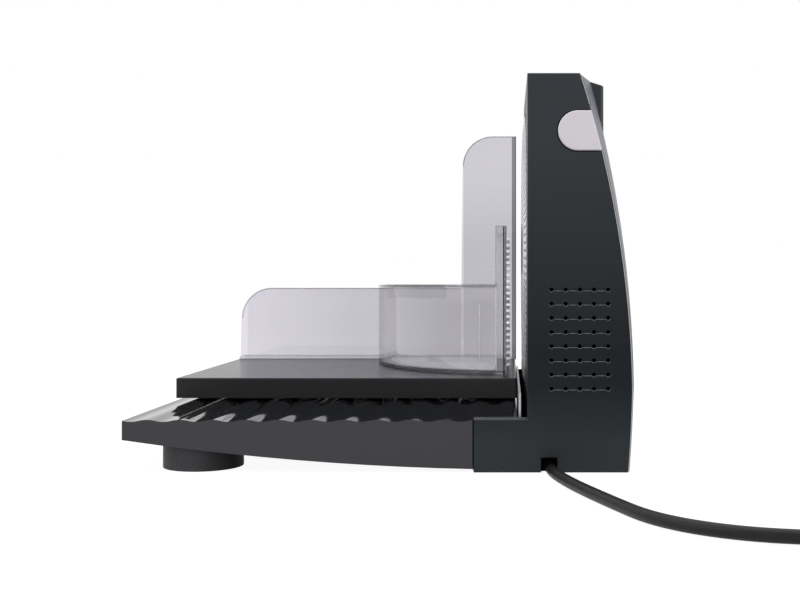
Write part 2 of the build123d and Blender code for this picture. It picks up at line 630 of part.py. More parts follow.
def make_gauge_plate():
    cut = BLADE_R + 2
    left = TOWER_FAR_Y + 5
    face = rounded_face([(left, GAUGE_BOTTOM, 0), (BASE_FAR_Y, GAUGE_BOTTOM, 6), (BASE_FAR_Y, GAUGE_TOP, 50),
                         (left, GAUGE_TOP, 0)], on_yz)
    plate = run_x(face, GAUGE_X, GAUGE_X + GAUGE_THICK)
    plate -= rod_x(GAUGE_X - 9, GAUGE_X + 9, BLADE_Y, BLADE_Z, cut)
    count = 13
    for k in range(count):
        z = GAUGE_BOTTOM + 9 + k * 12
        plate -= block(GAUGE_X - 1, GAUGE_X + 0.6, left - 1, BASE_FAR_Y + 1, z - 1, z + 1)
    return plate


def make_gauge_carrier():
    back = GAUGE_X + GAUGE_THICK
    carrier = block(back, back + 1.5, CAM_Y - 12, CAM_Y + 12, ROD_ZS[0] - 12, ROD_ZS[1] + 12)
    carrier += block(back, PIN_X + 4, CAM_Y - 5, CAM_Y + 5, CAM_Z + 16, CAM_Z + 22)
    carrier += rod_z(CAM_Z + CAM_R - 3.2, CAM_Z + 16, PIN_X, CAM_Y, PIN_R)
    return carrier


def make_gauge_rods():
    start = GAUGE_X + GAUGE_THICK + 1.5
    return group([rod_x(start, start + 27, CAM_Y, z, ROD_R) for z in ROD_ZS])


def make_column():
    far = BASE_FAR_Y
    plan = rounded_face([(COLUMN_X, COLUMN_Y, 3), (COLUMN_OUT_X, COLUMN_Y, 8), (COLUMN_OUT_X, far, 8),
                         (COLUMN_X, far, 3)], on_xy)
    column = run_z(plan, PLATE_TOP, COLUMN_TOP)
    column = fillet(column.faces().sort_by(Axis.Z)[-1].edges(), 2)
    column -= block(COLUMN_X + COLUMN_WALL, COLUMN_OUT_X - COLUMN_WALL, COLUMN_Y + COLUMN_WALL,
                    far - COLUMN_WALL, PLATE_TOP - 1, COLUMN_TOP - COLUMN_WALL)
    inner = COLUMN_X + COLUMN_WALL
    for z in ROD_ZS:
        column += rod_x(inner - 1, inner + 9, CAM_Y, z, 7.5)
        column -= rod_x(COLUMN_X - 1, inner + 10, CAM_Y, z, ROD_R + RUN)
    column -= block(COLUMN_X - 1, inner + 1, CAM_Y - 6, CAM_Y + 6, CAM_Z + 15, CAM_Z + 23)
    column -= rod_x(COLUMN_X - 1, inner + 1, CAM_Y, CAM_Z, 3 + RUN)
    column -= rod_x(COLUMN_OUT_X - COLUMN_WALL - 1, COLUMN_OUT_X + 1, CAM_Y, CAM_Z, 4 + RUN)
    for x, y in COLUMN_SCREWS:
        boss = rod_z(PLATE_TOP, 17, x, y, 4.5) + block(x - 4.5, x + 4.5, y - 4.5, y + 4.5, PLATE_TOP, 17)
        inside = block(COLUMN_X + 1, COLUMN_OUT_X - 1, COLUMN_Y + 1, far - 1, 0, 30)
        column += boss & inside
        column -= rod_z(0, 13, x, y, 1.5)
    return column


def make_cam():
    lead = GAUGE_TRAVEL * 360 / KNOB_TURN
    spare = 15
    start = COLUMN_X + COLUMN_WALL + 1
    stop = COLUMN_OUT_X - COLUMN_WALL - 0.4
    drum = rod_x(start, stop, 0, 0, CAM_R)
    groove_face = make_face(Polyline((CAM_R - 3.6, 0, -2.5), (CAM_R + 2, 0, -2.5), (CAM_R + 2, 0, 2.5),
                                     (CAM_R - 3.6, 0, 2.5), close=True))
    path = Helix(lead, lead * (KNOB_TURN + 2 * spare) / 360, CAM_R - 2)
    groove = sweep(groove_face, path, is_frenet=True)
    drum -= Pos(PIN_X - lead * spare / 360, 0, 0) * Rot(0, 90, 0) * Rot(0, 0, 180 - spare) * groove
    drum += rod_x(COLUMN_X + 0.6, start, 0, 0, 3)
    drum += rod_x(stop, COLUMN_OUT_X + 14, 0, 0, 4)
    return Pos(0, CAM_Y, CAM_Z) * drum


def make_knob():
    start = COLUMN_OUT_X + 0.8
    knob = rod_x(start, KNOB_END_X, 0, 0, KNOB_R)
    knob = fillet(knob.faces().sort_by(Axis.X)[-1].edges(), 3)
    for turn in range(20):
        knob -= Rot(turn * 18, 0, 0) * rod_x(start + 6, KNOB_END_X + 1, KNOB_R + 1.6, 0, 2.6)
    knob -= rod_x(start - 1, start + 14, 0, 0, KNOB_R - 4) - rod_x(start - 2, start + 15, 0, 0, 8)
    knob -= rod_x(start - 1, COLUMN_OUT_X + 14, 0, 0, 4)
    pointer = block(KNOB_END_X - 0.8, KNOB_END_X + 1, -1, 1, 12, 21)
    return Pos(0, CAM_Y, CAM_Z) * (knob - pointer)


# Food table and guard

def make_table():
    plan = rounded_face([(TABLE_LEFT, TABLE_NEAR_Y, 1.5), (TABLE_RIGHT, TABLE_NEAR_Y, 2),
                         (TABLE_RIGHT, TABLE_FAR_Y, 2), (TABLE_LEFT, TABLE_FAR_Y, 4)], on_xy)
    table = run_z(plan, TABLE_BOTTOM, TABLE_TOP)
    table = fillet(table.faces().sort_by(Axis.Z)[-1].edges(), 1.2)
    table -= block(TABLE_LEFT + TABLE_SKIN, TABLE_RIGHT - TABLE_SKIN, TABLE_NEAR_Y + TABLE_SKIN,
                   TABLE_FAR_Y - TABLE_SKIN, TABLE_BOTTOM - 1, TABLE_TOP - TABLE_SKIN)
    for x in (-70, -15, 40):
        table += block(x - 1, x + 1, TABLE_NEAR_Y + 1, TABLE_FAR_Y - 1, 41, TABLE_TOP - 1)
    for y in (10, 60, 110):
        table += block(TABLE_LEFT + 1, TABLE_RIGHT - 1, y - 1, y + 1, 41, TABLE_TOP - 1)
    for x in SHOE_XS:
        table += block(x - SHOE_HALF, x + SHOE_HALF, SHOE_YS[0], SHOE_YS[1], TABLE_BOTTOM + 4.7, TABLE_TOP - 1)
    for x in GUARD_SCREWS:
        table += rod_z(TABLE_TOP - PEG_LONG - 2, TABLE_TOP - 1, x, PEG_Y, PEG_R + 2.5)
        table -= rod_z(TABLE_TOP - PEG_LONG, TABLE_TOP + 1, x, PEG_Y, PEG_R)
        table -= rod_z(TABLE_BOTTOM, TABLE_TOP, x, PEG_Y, 1.5)
    return table


SHOE_XS = (GROOVE_X, TABLE_RIGHT - 16)
SHOE_YS = (BASE_FAR_Y - 69, BASE_FAR_Y - 4)
SHOE_HALF = 9.0
GUARD_SCREWS = (-150.0, -60.0, 20.0, 68.0)


def make_shoe(x, tongue):
    top = TABLE_BOTTOM + 4.7
    shoe = block(x - SHOE_HALF, x + SHOE_HALF, SHOE_YS[0], SHOE_YS[1], BASE_TOP + WAVE_AMP + 0.2, top)
    if tongue:
        shoe += block(x - 1.2, x + 1.2, SHOE_YS[0], SHOE_YS[1], GROOVE_FLOOR + 1, top)
    return shoe


def make_guard():
    outline = rounded_face([(GUARD_LEFT, TABLE_TOP, 0), (GUARD_LEFT + 1.5, GUARD_LOW_TOP, GUARD_ROUND),
                            (GUARD_TALL_X, GUARD_LOW_TOP, 2), (GUARD_TALL_X + 1.5, GUARD_TALL_TOP, GUARD_ROUND),
                            (GUARD_RIGHT, GUARD_TALL_TOP, 1), (GUARD_RIGHT, TABLE_TOP, 0)], on_xz)
    guard = run_y(outline, GUARD_Y, GUARD_Y + GUARD_THICK)
    sides = guard.faces().sort_by(Axis.Y)
    rim = (sides[0].edges() + sides[-1].edges()).filter_by_position(Axis.Z, TABLE_TOP + 1, GUARD_TALL_TOP + 1)
    guard = fillet(rim.filter_by_position(Axis.X, GUARD_LEFT - 1, GUARD_RIGHT - 2), 0.7)
    guard += block(GUARD_LEFT + 1, GUARD_RIGHT - 1, GUARD_Y - FLANGE_DEEP, GUARD_Y, TABLE_TOP, TABLE_TOP + 2.6)
    guard += block(GUARD_RIGHT - 3.6, GUARD_RIGHT, GUARD_Y - 12, GUARD_Y, TABLE_TOP, GUARD_TALL_TOP - 1.6)
    for x in GUARD_SCREWS:
        guard += rod_z(TABLE_TOP - PEG_LONG, TABLE_TOP + 1, x, PEG_Y, PEG_R)
        guard -= rod_z(TABLE_BOTTOM, TABLE_TOP - 2, x, PEG_Y, 1.5)
    return guard


def make_guard_screw(x):
    low = TABLE_TOP - PEG_LONG - 2
    head = rod_z(low - 1.6, low, x, PEG_Y, 3)
    head -= block(x - 2.4, x + 2.4, PEG_Y - 0.4, PEG_Y + 0.4, low - 2, low - 0.8)
    return head + rod_z(low, TABLE_TOP - 2.5, x, PEG_Y, 1.5)


# Pusher

def make_hood():
    low = TABLE_TOP + PUSHER_GAP
    outer = Pos(PUSHER_X, PUSHER_Y, 0) * Ellipse(PUSHER_HALF_X, PUSHER_HALF_Y)
    inner = Pos(PUSHER_X, PUSHER_Y, 0) * Ellipse(PUSHER_HALF_X - PUSHER_WALL, PUSHER_HALF_Y - PUSHER_WALL)
    flange = Pos(PUSHER_X, PUSHER_Y, 0) * Ellipse(PUSHER_HALF_X - 10, PUSHER_HALF_Y - 10)
    back_x = SPIKE_X - 6.8
    quarter = block(-200, back_x + 1, -200, PUSHER_Y, low, 200)
    hood = extrude(outer - inner, PUSHER_TOP) & quarter
    hood += (extrude(outer - flange, low + 2.5)) & quarter
    rim = Pos(PUSHER_X, PUSHER_Y, 0) * Ellipse(PUSHER_HALF_X - 5.5, PUSHER_HALF_Y - 5.5)
    hood += (Pos(0, 0, PUSHER_TOP - 2.2) * extrude(outer - rim, 2.2)) & quarter
    near = PUSHER_Y - PUSHER_HALF_Y
    left = PUSHER_X - PUSHER_HALF_X
    hood += block(left, back_x + 1, PUSHER_Y - PUSHER_WALL, PUSHER_Y, low, PUSHER_TOP)
    hood += block(SPIKE_X - 1.2, SPIKE_X, near, PUSHER_Y, low, SPIKE_TOP)
    for post in (near, PUSHER_Y - PUSHER_WALL):
        hood += block(back_x, SPIKE_X, post, post + PUSHER_WALL, low, SPIKE_TOP)
    for corner in (near, PUSHER_Y - 6):
        hood += block(back_x, SPIKE_X, corner, corner + 6, SPIKE_TOP - 8, SPIKE_TOP)
    grip_y = PUSHER_Y - 52
    grip_top = PUSHER_TOP - 13.2
    hood += block(back_x - 58, SPIKE_X - 0.6, grip_y - 0.6, grip_y + 0.6, low, grip_top)
    hood += block(back_x - 15, back_x - 13, grip_y - 4, grip_y, low, grip_top)
    hook_top = GUARD_LOW_TOP + 0.4
    hood += block(left, GUARD_TALL_X - 14, PUSHER_Y - 1, TABLE_FAR_Y + 3.1, hook_top, PUSHER_TOP)
    hood += block(left, GUARD_TALL_X - 14, TABLE_FAR_Y + 0.6, TABLE_FAR_Y + 3.1, 103, PUSHER_TOP)
    return hood


def make_spikes():
    low = TABLE_TOP + PUSHER_GAP
    face_x = SPIKE_X + SPIKE_THICK
    start = low + 6
    count = int((SPIKE_TOP - 8 - start) / SPIKE_PITCH)
    points = [on_xz(SPIKE_X, low), on_xz(SPIKE_X, SPIKE_TOP), on_xz(face_x, SPIKE_TOP)]
    for k in reversed(range(count)):
        z = start + k * SPIKE_PITCH
        points += [on_xz(face_x, z + SPIKE_PITCH), on_xz(face_x + SPIKE_DEEP, z + SPIKE_PITCH / 2)]
    points += [on_xz(face_x, start), on_xz(face_x, low)]
    near = PUSHER_Y - PUSHER_HALF_Y
    plate = run_y(make_face(Polyline(*points, close=True)), near, PUSHER_Y)
    for k in range(5):
        y = near + 22 + k * 26
        plate -= block(face_x, face_x + 9, y - 1, y + 1, low - 1, SPIKE_TOP + 1)
    return plate


# Mains cord, coiled at its far end

CORD_POINTS = ((101.1, -161.5), (101.1, -185.0), (111.9, -223.0), (129.4, -275.0), (147.4, -323.0),
               (181.4, -353.0), (225.4, -363.0), (267.4, -363.0))


def make_cord():
    points = [Vector(x, y, REST_Z) for x, y in CORD_POINTS]
    points[0] = Vector(points[0].X, points[0].Y, CORD_Z)
    points[1] = Vector(points[1].X, points[1].Y, CORD_Z)
    radii = []
    for before, here, after in zip(points, points[1:], points[2:]):
        turn = math.radians((here - before).get_angle(after - here))
        shorter = min((here - before).length, (after - here).length)
        radii.append(0.45 * shorter / math.tan(turn / 2))
    path = FilletPolyline(*points, radius=radii)
    print("cord length", round(path.length), "bend radii", [round(r) for r in radii])
    ring = Plane(path @ 0, z_dir=path % 0) * Circle(CORD_R)
    tube = sweep(ring, path)
    share = tube.volume / (math.pi * CORD_R ** 2 * path.length)
    print("cord volume over section times length", round(share, 4))
    return tube


def coil_path():
    """Two layers of flat half turns about two centres, with a climb between them."""
    start_x, start_y = CORD_POINTS[-1]
    cx = start_x + 2 * CORD_R
    cy = start_y + COIL_R
    edges = [Line((start_x, start_y, REST_Z), (cx, start_y, REST_Z))]
    spot = -COIL_R
    side = 1
    shrink = COIL_STEP / 2

    def half_turn(spot, stop, side, z):
        middle = (spot + stop) / 2
        reach = abs(stop - spot) / 2
        edges.append(ThreePointArc((cx, cy + spot, z), (cx + side * reach, cy + middle, z), (cx, cy + stop, z)))

    for _ in range(4):
        stop = -math.copysign(abs(spot) - shrink, spot)
        half_turn(spot, stop, side, REST_Z)
        spot = stop
        side = -side
    radius = abs(spot)
    slant = math.hypot(radius, COIL_LAYER / 2)
    lean = 1 - math.sqrt(0.5)
    middle_z = REST_Z + COIL_LAYER / 2
    top_z = REST_Z + COIL_LAYER
    peak = (cx + slant, cy, middle_z)
    first = (cx + slant * math.sqrt(0.5), cy - radius * (1 - lean), REST_Z + COIL_LAYER / 2 * lean)
    second = (cx + slant * math.sqrt(0.5), cy + radius * (1 - lean), top_z - COIL_LAYER / 2 * lean)
    edges.append(ThreePointArc((cx, cy + spot, REST_Z), first, peak))
    edges.append(ThreePointArc(peak, second, (cx, cy - spot, top_z)))
    spot = -spot
    side = -1
    for _ in range(3):
        stop = -math.copysign(abs(spot) + shrink, spot)
        half_turn(spot, stop, side, top_z)
        spot = stop
        side = -side
    reach = abs(spot) + shrink / 2
    middle = spot + reach
    bend = math.sqrt(0.5)
    edges.append(ThreePointArc((cx, cy + spot, top_z), (cx + reach * bend, cy + middle - reach * bend, top_z),
                               (cx + reach, cy + middle, top_z)))
    edges.append(Line((cx + reach, cy + middle, top_z), (cx + reach, cy + COIL_R - 5, top_z)))
    return Wire(edges)


def least_gap(path):
    """Smallest space between two stretches of the coil, measured on points."""
    count = 500
    step = path.length / count
    points = [path @ (i / count) for i in range(count + 1)]
    skip = int(6 * CORD_R / step) + 2
    gaps = [(points[i] - points[j]).length for i in range(count) for j in range(i + skip, count + 1)]
    return min(gaps) - 2 * CORD_R


def make_coil(path):
    ring = Plane(path @ 0, z_dir=path % 0) * Circle(CORD_R)
    tube = sweep(ring, path)
    print("coil length", round(path.length), "least gap", round(least_gap(path), 2),
          "volume ratio", round(tube.volume / (math.pi * CORD_R ** 2 * path.length), 4))
    return tube


PLUG_HALF_Z = REST_Z + COIL_LAYER


def make_plug(end):
    neck = rod_y(end.Y, end.Y + 8, end.X, end.Z, CORD_R + 1.2)
    plan = rounded_face([(end.X - 10, end.Y + 6, 4), (end.X + 10, end.Y + 6, 4), (end.X + 17.5, end.Y + 24, 6),
                         (end.X + 17.5, end.Y + 42, 2), (end.X - 17.5, end.Y + 42, 2),
                         (end.X - 17.5, end.Y + 24, 6)], on_xy)
    body = run_z(plan, 0, 2 * PLUG_HALF_Z)
    body = fillet(body.faces().sort_by(Axis.Z)[-1].edges(), 3)
    return body + neck


def make_pins(end):
    pins = []
    for side in (-1, 1):
        pin = rod_y(end.Y + 42, end.Y + 61, end.X + side * 9.5, end.Z, 2.4)
        pins.append(fillet(pin.faces().sort_by(Axis.Y)[-1].edges(), 1))
    return group(pins)


def make_gland():
    body = rod_y(NEAR_Y + 1.5, NEAR_Y + 26, CORD_X, CORD_Z, 4.3)
    return body + rod_y(NEAR_Y + 8, NEAR_Y + 26, CORD_X, CORD_Z, 4.6)


save(make_housing(), "main_housing")
save(make_rail(), "guide_rail")
save(make_band(), "edge_band")
save(make_cover(), "motor_cover")
save(make_base(), "base")
save(group([make_suction_foot(y) for y in SUCTION_Y]), "suction_feet")
save(group([rod_z(0, PLATE_BOTTOM, x, y, PAD_R) for x, y in PADS]), "rest_pads")
save(group([make_screw(x, y) for x, y in BASE_SCREWS + COLUMN_SCREWS]), "base_screws")
save(group([make_side_screw(y, z) for y, z in COVER_SCREWS]), "cover_screws")
save(make_bush(), "spindle_bush")
save(make_motor_can(), "motor_can")
save(make_magnets(), "motor_magnets")
save(make_frame(), "gear_frame")
save(make_switch(), "micro_switch")
save(make_gland(), "cord_gland")
save(make_column(), "gauge_column")
save(make_blade(), "blade")
save(make_spindle(), "blade_spindle")
save(make_gear(), "drive_gear")
save(make_blade_cap(), "blade_cap")
save(make_armature(), "armature")
save(make_worm(), "worm")
save(make_fan(), "motor_fan")
save(make_button(), "power_button")
save(make_spring(), "button_spring")
save(make_gauge_plate(), "gauge_plate")
save(make_gauge_carrier(), "gauge_carrier")
save(make_gauge_rods(), "gauge_rods")
save(make_cam(), "cam_drum")
save(make_knob(), "thickness_knob")
save(make_table(), "food_table")
save(make_shoe(SHOE_XS[0], True), "left_shoe")
save(make_shoe(SHOE_XS[1], False), "right_shoe")
save(make_guard(), "clear_guard")
save(group([make_guard_screw(x) for x in GUARD_SCREWS]), "guard_screws")
save(make_hood(), "pusher_hood")
save(make_spikes(), "spike_plate")
save(make_cord(), "cord")
COIL = coil_path()
save(make_coil(COIL), "cord_coil")
save(make_plug(COIL @ 1), "plug_body")
save(make_pins(COIL @ 1), "plug_pins")
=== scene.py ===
import json
import math
import bpy
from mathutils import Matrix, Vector


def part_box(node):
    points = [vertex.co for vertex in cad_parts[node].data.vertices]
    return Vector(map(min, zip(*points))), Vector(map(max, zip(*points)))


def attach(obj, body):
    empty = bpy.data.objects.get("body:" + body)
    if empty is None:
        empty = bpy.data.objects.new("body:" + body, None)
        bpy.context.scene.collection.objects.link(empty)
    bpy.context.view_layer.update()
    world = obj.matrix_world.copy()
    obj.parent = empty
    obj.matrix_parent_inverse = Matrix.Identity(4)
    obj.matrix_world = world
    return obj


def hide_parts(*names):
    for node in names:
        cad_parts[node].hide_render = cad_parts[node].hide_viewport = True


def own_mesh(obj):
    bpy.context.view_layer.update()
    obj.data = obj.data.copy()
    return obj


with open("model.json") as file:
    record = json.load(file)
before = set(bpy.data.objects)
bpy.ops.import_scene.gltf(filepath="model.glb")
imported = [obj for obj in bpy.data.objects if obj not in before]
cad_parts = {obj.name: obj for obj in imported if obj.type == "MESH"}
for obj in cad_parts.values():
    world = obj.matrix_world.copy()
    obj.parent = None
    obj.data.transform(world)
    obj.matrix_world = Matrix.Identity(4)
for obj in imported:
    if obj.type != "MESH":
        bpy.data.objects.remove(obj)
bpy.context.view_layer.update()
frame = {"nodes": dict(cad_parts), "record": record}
NODES = frame["nodes"]
SCENE = bpy.context.scene
WHITE = (1, 1, 1, 1)
BLACK = (0, 0, 0, 1)


def middle(node):
    """Middle of a node's box."""
    low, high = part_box(node)
    return (low + high) / 2


# Camera, read from the photograph's one-point perspective
CAMERA_AT = (0.0754, -0.892, 0.1225)
LENS_MM = 52.5
SENSOR_MM = 36
SHIFT = (-0.135, -0.029)
FAR_CLIP = 20

# Studio: each glow is first the light on the object, then what the camera sees
FLOOR_HALF = 6.0
FLOOR_PAPER = (0.18, 0.18, 0.182)
FLOOR_GLOW = (0.36, 0.94)
SKY_GLOW = (0.45, 1.0)
MACHINE = (0, 0, 0.1)
SPIKED_FACE = (0.0755, -0.012, 0.108)
SPOT_R = 0.03

# Vented end of the housing, in metres
END_FACE_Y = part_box("main_housing")[0].y
VENT_ROWS = 8
VENT_PITCH = 0.00885
VENT_X = 0.1203
VENT_MIDDLE = (VENT_X, END_FACE_Y, 0.083475)
LINK_SINK = 0.00012          # how far the beads' middles lie behind the end face
LINK_MIDDLE = (VENT_X, END_FACE_Y + LINK_SINK, 0.08272)
GROOVE_SINK = 0.00015
GROOVE_MIDDLE = (VENT_X, END_FACE_Y + GROOVE_SINK, 0.082875)
LIP_START = math.radians(195)
LIP_SWEEP = math.radians(150)
MOUTH = ((0.09595, 0.10625), (-0.1605, -0.16005), (0.0007, 0.00955))   # spans in X, Y and Z

# Outer edge of the vented end: two arcs, each through three points in X and Z
END_EDGE = ((0.1204, 0.250), (0.1384, 0.183), (0.1533, 0.052), (0.1524, 0.027), (0.1507, 0.0006))
EDGE_POINTS = (60, 20)       # points on each arc
EDGE_R = 0.0003
SEAM_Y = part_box("edge_band")[0].y
SEAM_R = 0.0005
SEAM_TOP = 0.2494
SEAM_PROUD = 0.0004          # how far the bead stands out and the painted edge highlight lies in
BUTTON_GAP = 0.0007

# Pusher: the hood's wall is part of an ellipse
HOOD_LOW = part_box("pusher_hood")[0]
HOOD_CENTRE = (0.0704, 0.139)
HOOD_HALF = (HOOD_CENTRE[0] - HOOD_LOW.x, HOOD_CENTRE[1] - HOOD_LOW.y)
HOOD_FOOT = HOOD_LOW.z
HOOD_TOP = 0.1157
HOOD_RING = 0.010            # width of the ring at the hood's foot
HOOD_STOP = 0.0660           # X where the wall's top meets the end post
HOOD_BACK = 0.1365           # Y of the foot ring's inner edge at the back
HOOD_STEPS = 60
RIM_R = 0.0006
RIM_END = 0.0722             # X where the foot's rim meets the spiked sheet
FOOT_RIM_R = 0.0008
POST_EDGE = ((0.0663, -0.0129), (0.0727, 0.1607))   # X and Y of its left edge, X and Z of its top corner
# White ribs that paint the highlights along the hood's wall
HOOD_RIBS = ((0.0541, -0.0113, 0.1015), (0.0663, -0.0129, 0.1145))   # X, Y and top of each
RIB_LIFT = 0.003             # from the hood's foot to the ribs' lower ends
RIB_R = 0.0002
HOOD_FLOOR = (0.0002, 0.0022)   # heights of the sheet's faces above the hood's foot
FLOOR_GAP = 0.0001
FLOOR_STOP_GAP = 0.0006
SPIKE_SHEET = (0.0731, 0.0743)
SPIKE_REACH = (-0.0113, 0.1373)
SPIKE_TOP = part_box("spike_plate")[1].z
SPIKE_MIDDLE = 0.1037
SPIKE_SINK = 0.0001

# Guard, which has a low and a tall end
GUARD_SHEET = 0.003
GUARD_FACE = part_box("clear_guard")[1].y - GUARD_SHEET
GUARD_ROUND = 0.0265
GUARD_BEND_STEPS = 16
GUARD_TOPS = (((-0.1635, 0.033), 0.1119), ((0.0353, 0.0785), 0.2484))   # span in X, and height
GUARD_FOOT_LINE = ((-0.163, 0.0625), 0.0521)   # likewise
LINE_R = 0.0004
FINE_R = 0.0003

# Painted light and shade: where each change begins and ends, and the share of light it takes or gives
HOUSING_FADE = (0.075, 0.205)
HOUSING_DIM = 0.43
HOUSING_FOOT_FADE = (0.018, 0.055)
HOUSING_FOOT_GAIN = 0.38
GUARD_STEP = (0.028, 0.034)
TALL_FADE = (0.15, 0.21)
TALL_LOSS = 0.165
LOW_SLOPE = (-0.1524, -0.0624)
LOW_LOSS = (-0.08, 0.11)
LOW_FADE = (0.055, 0.110)
LOW_FOOT_LOSS = 0.05
FLANGE_STEP = (0.0786, 0.0790)
FLANGE_LOSS = 0.48
# Painted highlights along the guard's left edges and its step edge
LOW_RIM = (-0.1600, -0.1585)
LOW_RIM_GAIN = 0.16
STEP_EDGE_X = 0.0340
STEP_EDGE = (0.0011, 0.0017)
STEP_EDGE_GAIN = 0.22
GUARD_PEAK = 1.3             # the guard's palest painted edge highlight against its body
CORD_FADE = (-0.177, -0.200)   # along Y
CORD_DIM = 0.03
FOOT_FADE = (-0.099, -0.122)   # along X
FOOT_DIM = 0.25

# Blade and motor
BLADE_MIDDLE = middle("blade")
BLADE_AXIS = (0.0, BLADE_MIDDLE.y, BLADE_MIDDLE.z)
BLADE_TEETH = 110
# Painted shade in the hollows between the teeth
GULLET_RING = (0.0815, 0.0835)   # radii between which the hollows come in
GULLET_DARK = 0.85
GULLET_WAVE = (0.2, 0.8)
GROUND_SIDE = (0.0867, 0.0870)   # X between which the ground side ends
MOTOR_AXIS = (0.117, 0, 0.098)   # a point on it, as for the blade
DARK_INSIDE = ("motor_fan", "motor_can")   # seen only through the vents, so painted black as shade

# Knob, button spring and plug
KNOB_FACE = (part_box("thickness_knob")[1].x, middle("thickness_knob").y, middle("thickness_knob").z)
SPRING_WIRE = 0.00045
SPRING_TURNS = 3.5
SPRING_STEPS = 140
SLEEVE_LAP = 0.0005
PLUG_END = (middle("plug_body").x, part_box("plug_body")[0].y + SLEEVE_LAP, middle("plug_body").z)

# Cord
CORD_R = 0.0035
CORD_EXIT = (0.1011, -0.1615, 0.0049)
REST_Z = 0.0037
ROUTE = ((0.1011, -0.1850, 0.0049), (0.1119, -0.2230, REST_Z), (0.1294, -0.2750, REST_Z),
         (0.1474, -0.3230, REST_Z), (0.1814, -0.3530, REST_Z), (0.2254, -0.3630, REST_Z),
         (0.2674, -0.3630, REST_Z))
COIL_R = 0.047
COIL_STEP = 0.0092
COIL_LAYER = 0.0078
LAYER_HALF_TURNS = 4
COIL_POINTS = 9              # control points on each half turn
LEAD_POINTS = 5              # control points on the bend that leaves the coil
LEAD_RUN = (0.020, 0.042)    # control points on the way to the plug, past the coil's middle

# Finishes: grain, glass and colours
GRAIN_SCALE = 2600
SIDE_GRAIN = 0.3
RING_SCALE = 9000
PLASTIC_IOR = 1.49
FROST = ((0.98, 0.97, 1.0), (0.95, 0.94, 0.98))
GULLET_SHADE_GREY = (0.2, 0.2, 0.21)


def add_object(name, data):
    """New object at the origin, in the scene."""
    thing = bpy.data.objects.new(name, data)
    SCENE.collection.objects.link(thing)
    return thing


def plain_mesh(piece):
    """A piece's finished shape as a plain mesh."""
    graph = bpy.context.evaluated_depsgraph_get()
    return bpy.data.meshes.new_from_object(piece.evaluated_get(graph))


# Node trees

class Tree:
    """A node tree with short calls for adding and linking nodes."""

    def __init__(self, tree):
        self.tree = tree
        tree.nodes.clear()

    def add(self, kind, settings=None, **inputs):
        node = self.tree.nodes.new(kind)
        for key, value in (settings or {}).items():
            setattr(node, key, value)
        for key, value in inputs.items():
            self.put(node, key.replace("_", " "), value)
        return node

    def put(self, node, name, value):
        socket = node.inputs[int(name)] if name.isdigit() else node.inputs[name]
        if isinstance(value, bpy.types.NodeSocket):
            self.tree.links.new(value, socket)
        elif isinstance(value, bpy.types.Node):
            self.tree.links.new(value.outputs[0], socket)
        else:
            socket.default_value = value

    def pair(self, kind, settings, first, second):
        """A node that takes two values in its first two sockets."""
        node = self.add(kind, settings)
        self.put(node, "0", first)
        self.put(node, "1", second)
        return node

    def math(self, operation, a, b=0.0):
        return self.pair("ShaderNodeMath", {"operation": operation}, a, b)

    def vector_math(self, operation, a, b=(0.0, 0.0, 0.0)):
        return self.pair("ShaderNodeVectorMath", {"operation": operation}, a, b)

    def vector(self, x=0.0, y=0.0, z=0.0):
        return self.add("ShaderNodeCombineXYZ", X=x, Y=y, Z=z)

    def split(self, vector):
        return self.add("ShaderNodeSeparateXYZ", Vector=vector).outputs

    def noise(self, coords, scale, detail=2.0, rough=0.5):
        return self.add("ShaderNodeTexNoise", Vector=coords, Scale=scale, Detail=detail, Roughness=rough)

    def spread(self, value, low, high, start=0.3, stop=0.7):
        """Maps a pattern from start to stop onto a range of values."""
        node = self.add("ShaderNodeMapRange", {"clamp": True}, Value=value)
        for name, number in (("From Min", start), ("From Max", stop), ("To Min", low), ("To Max", high)):
            self.put(node, name, number)
        return node

    def blend(self, amount, first, second):
        node = self.add("ShaderNodeMix", {"data_type": "RGBA"})
        for name, value in (("0", amount), ("6", first), ("7", second)):
            self.put(node, name, value)
        return node.outputs[2]


def new_tree(name):
    material = bpy.data.materials.new(name)
    material.use_nodes = True
    return material, Tree(material.node_tree)


def new_material(name):
    material, tree = new_tree(name)
    surface = tree.add("ShaderNodeBsdfPrincipled")
    tree.output = tree.add("ShaderNodeOutputMaterial", Surface=surface)
    coords = tree.add("ShaderNodeTexCoord").outputs["Object"]
    return material, tree, surface, coords


def rgba(colour):
    return (*colour, 1.0)


def toned(colour, times, plus=0.0):
    """The colour made lighter or darker."""
    return rgba([min(1, c * times + plus) for c in colour])


# Camera, floor and light

def place_camera():
    data = bpy.data.cameras.new("photo_camera")
    data.lens = LENS_MM
    data.sensor_width = SENSOR_MM
    data.shift_x, data.shift_y = SHIFT
    data.clip_end = FAR_CLIP
    camera = add_object("photo_camera", data)
    camera.location = CAMERA_AT
    camera.rotation_euler = (math.pi / 2, 0, 0)
    SCENE.camera = camera


def hang_lamp(name, data, place, target):
    lamp = add_object(name, data)
    lamp.location = place
    lamp.rotation_euler = (Vector(target) - Vector(place)).to_track_quat("-Z", "Y").to_euler()


def area_light(name, place, target, size, energy):
    data = bpy.data.lights.new(name, "AREA")
    data.shape = "RECTANGLE"
    data.size, data.size_y = size
    data.energy = energy
    hang_lamp(name, data, place, target)


def spot_light(name, place, target, angle, energy):
    """Small lamp with a narrow soft-edged beam."""
    data = bpy.data.lights.new(name, "SPOT")
    data.energy = energy
    data.spot_size = math.radians(angle)
    data.spot_blend = 1.0
    data.shadow_soft_size = SPOT_R
    hang_lamp(name, data, place, target)


def seen_level(tree, glow):
    """One brightness as light on the object, another as seen straight, mirrored or through glass."""
    path = tree.add("ShaderNodeLightPath").outputs
    seen = tree.math("MAXIMUM", path["Is Camera Ray"], path["Is Glossy Ray"])
    seen = tree.math("MAXIMUM", seen, path["Is Transmission Ray"])
    return tree.spread(seen, *glow, 0, 1)


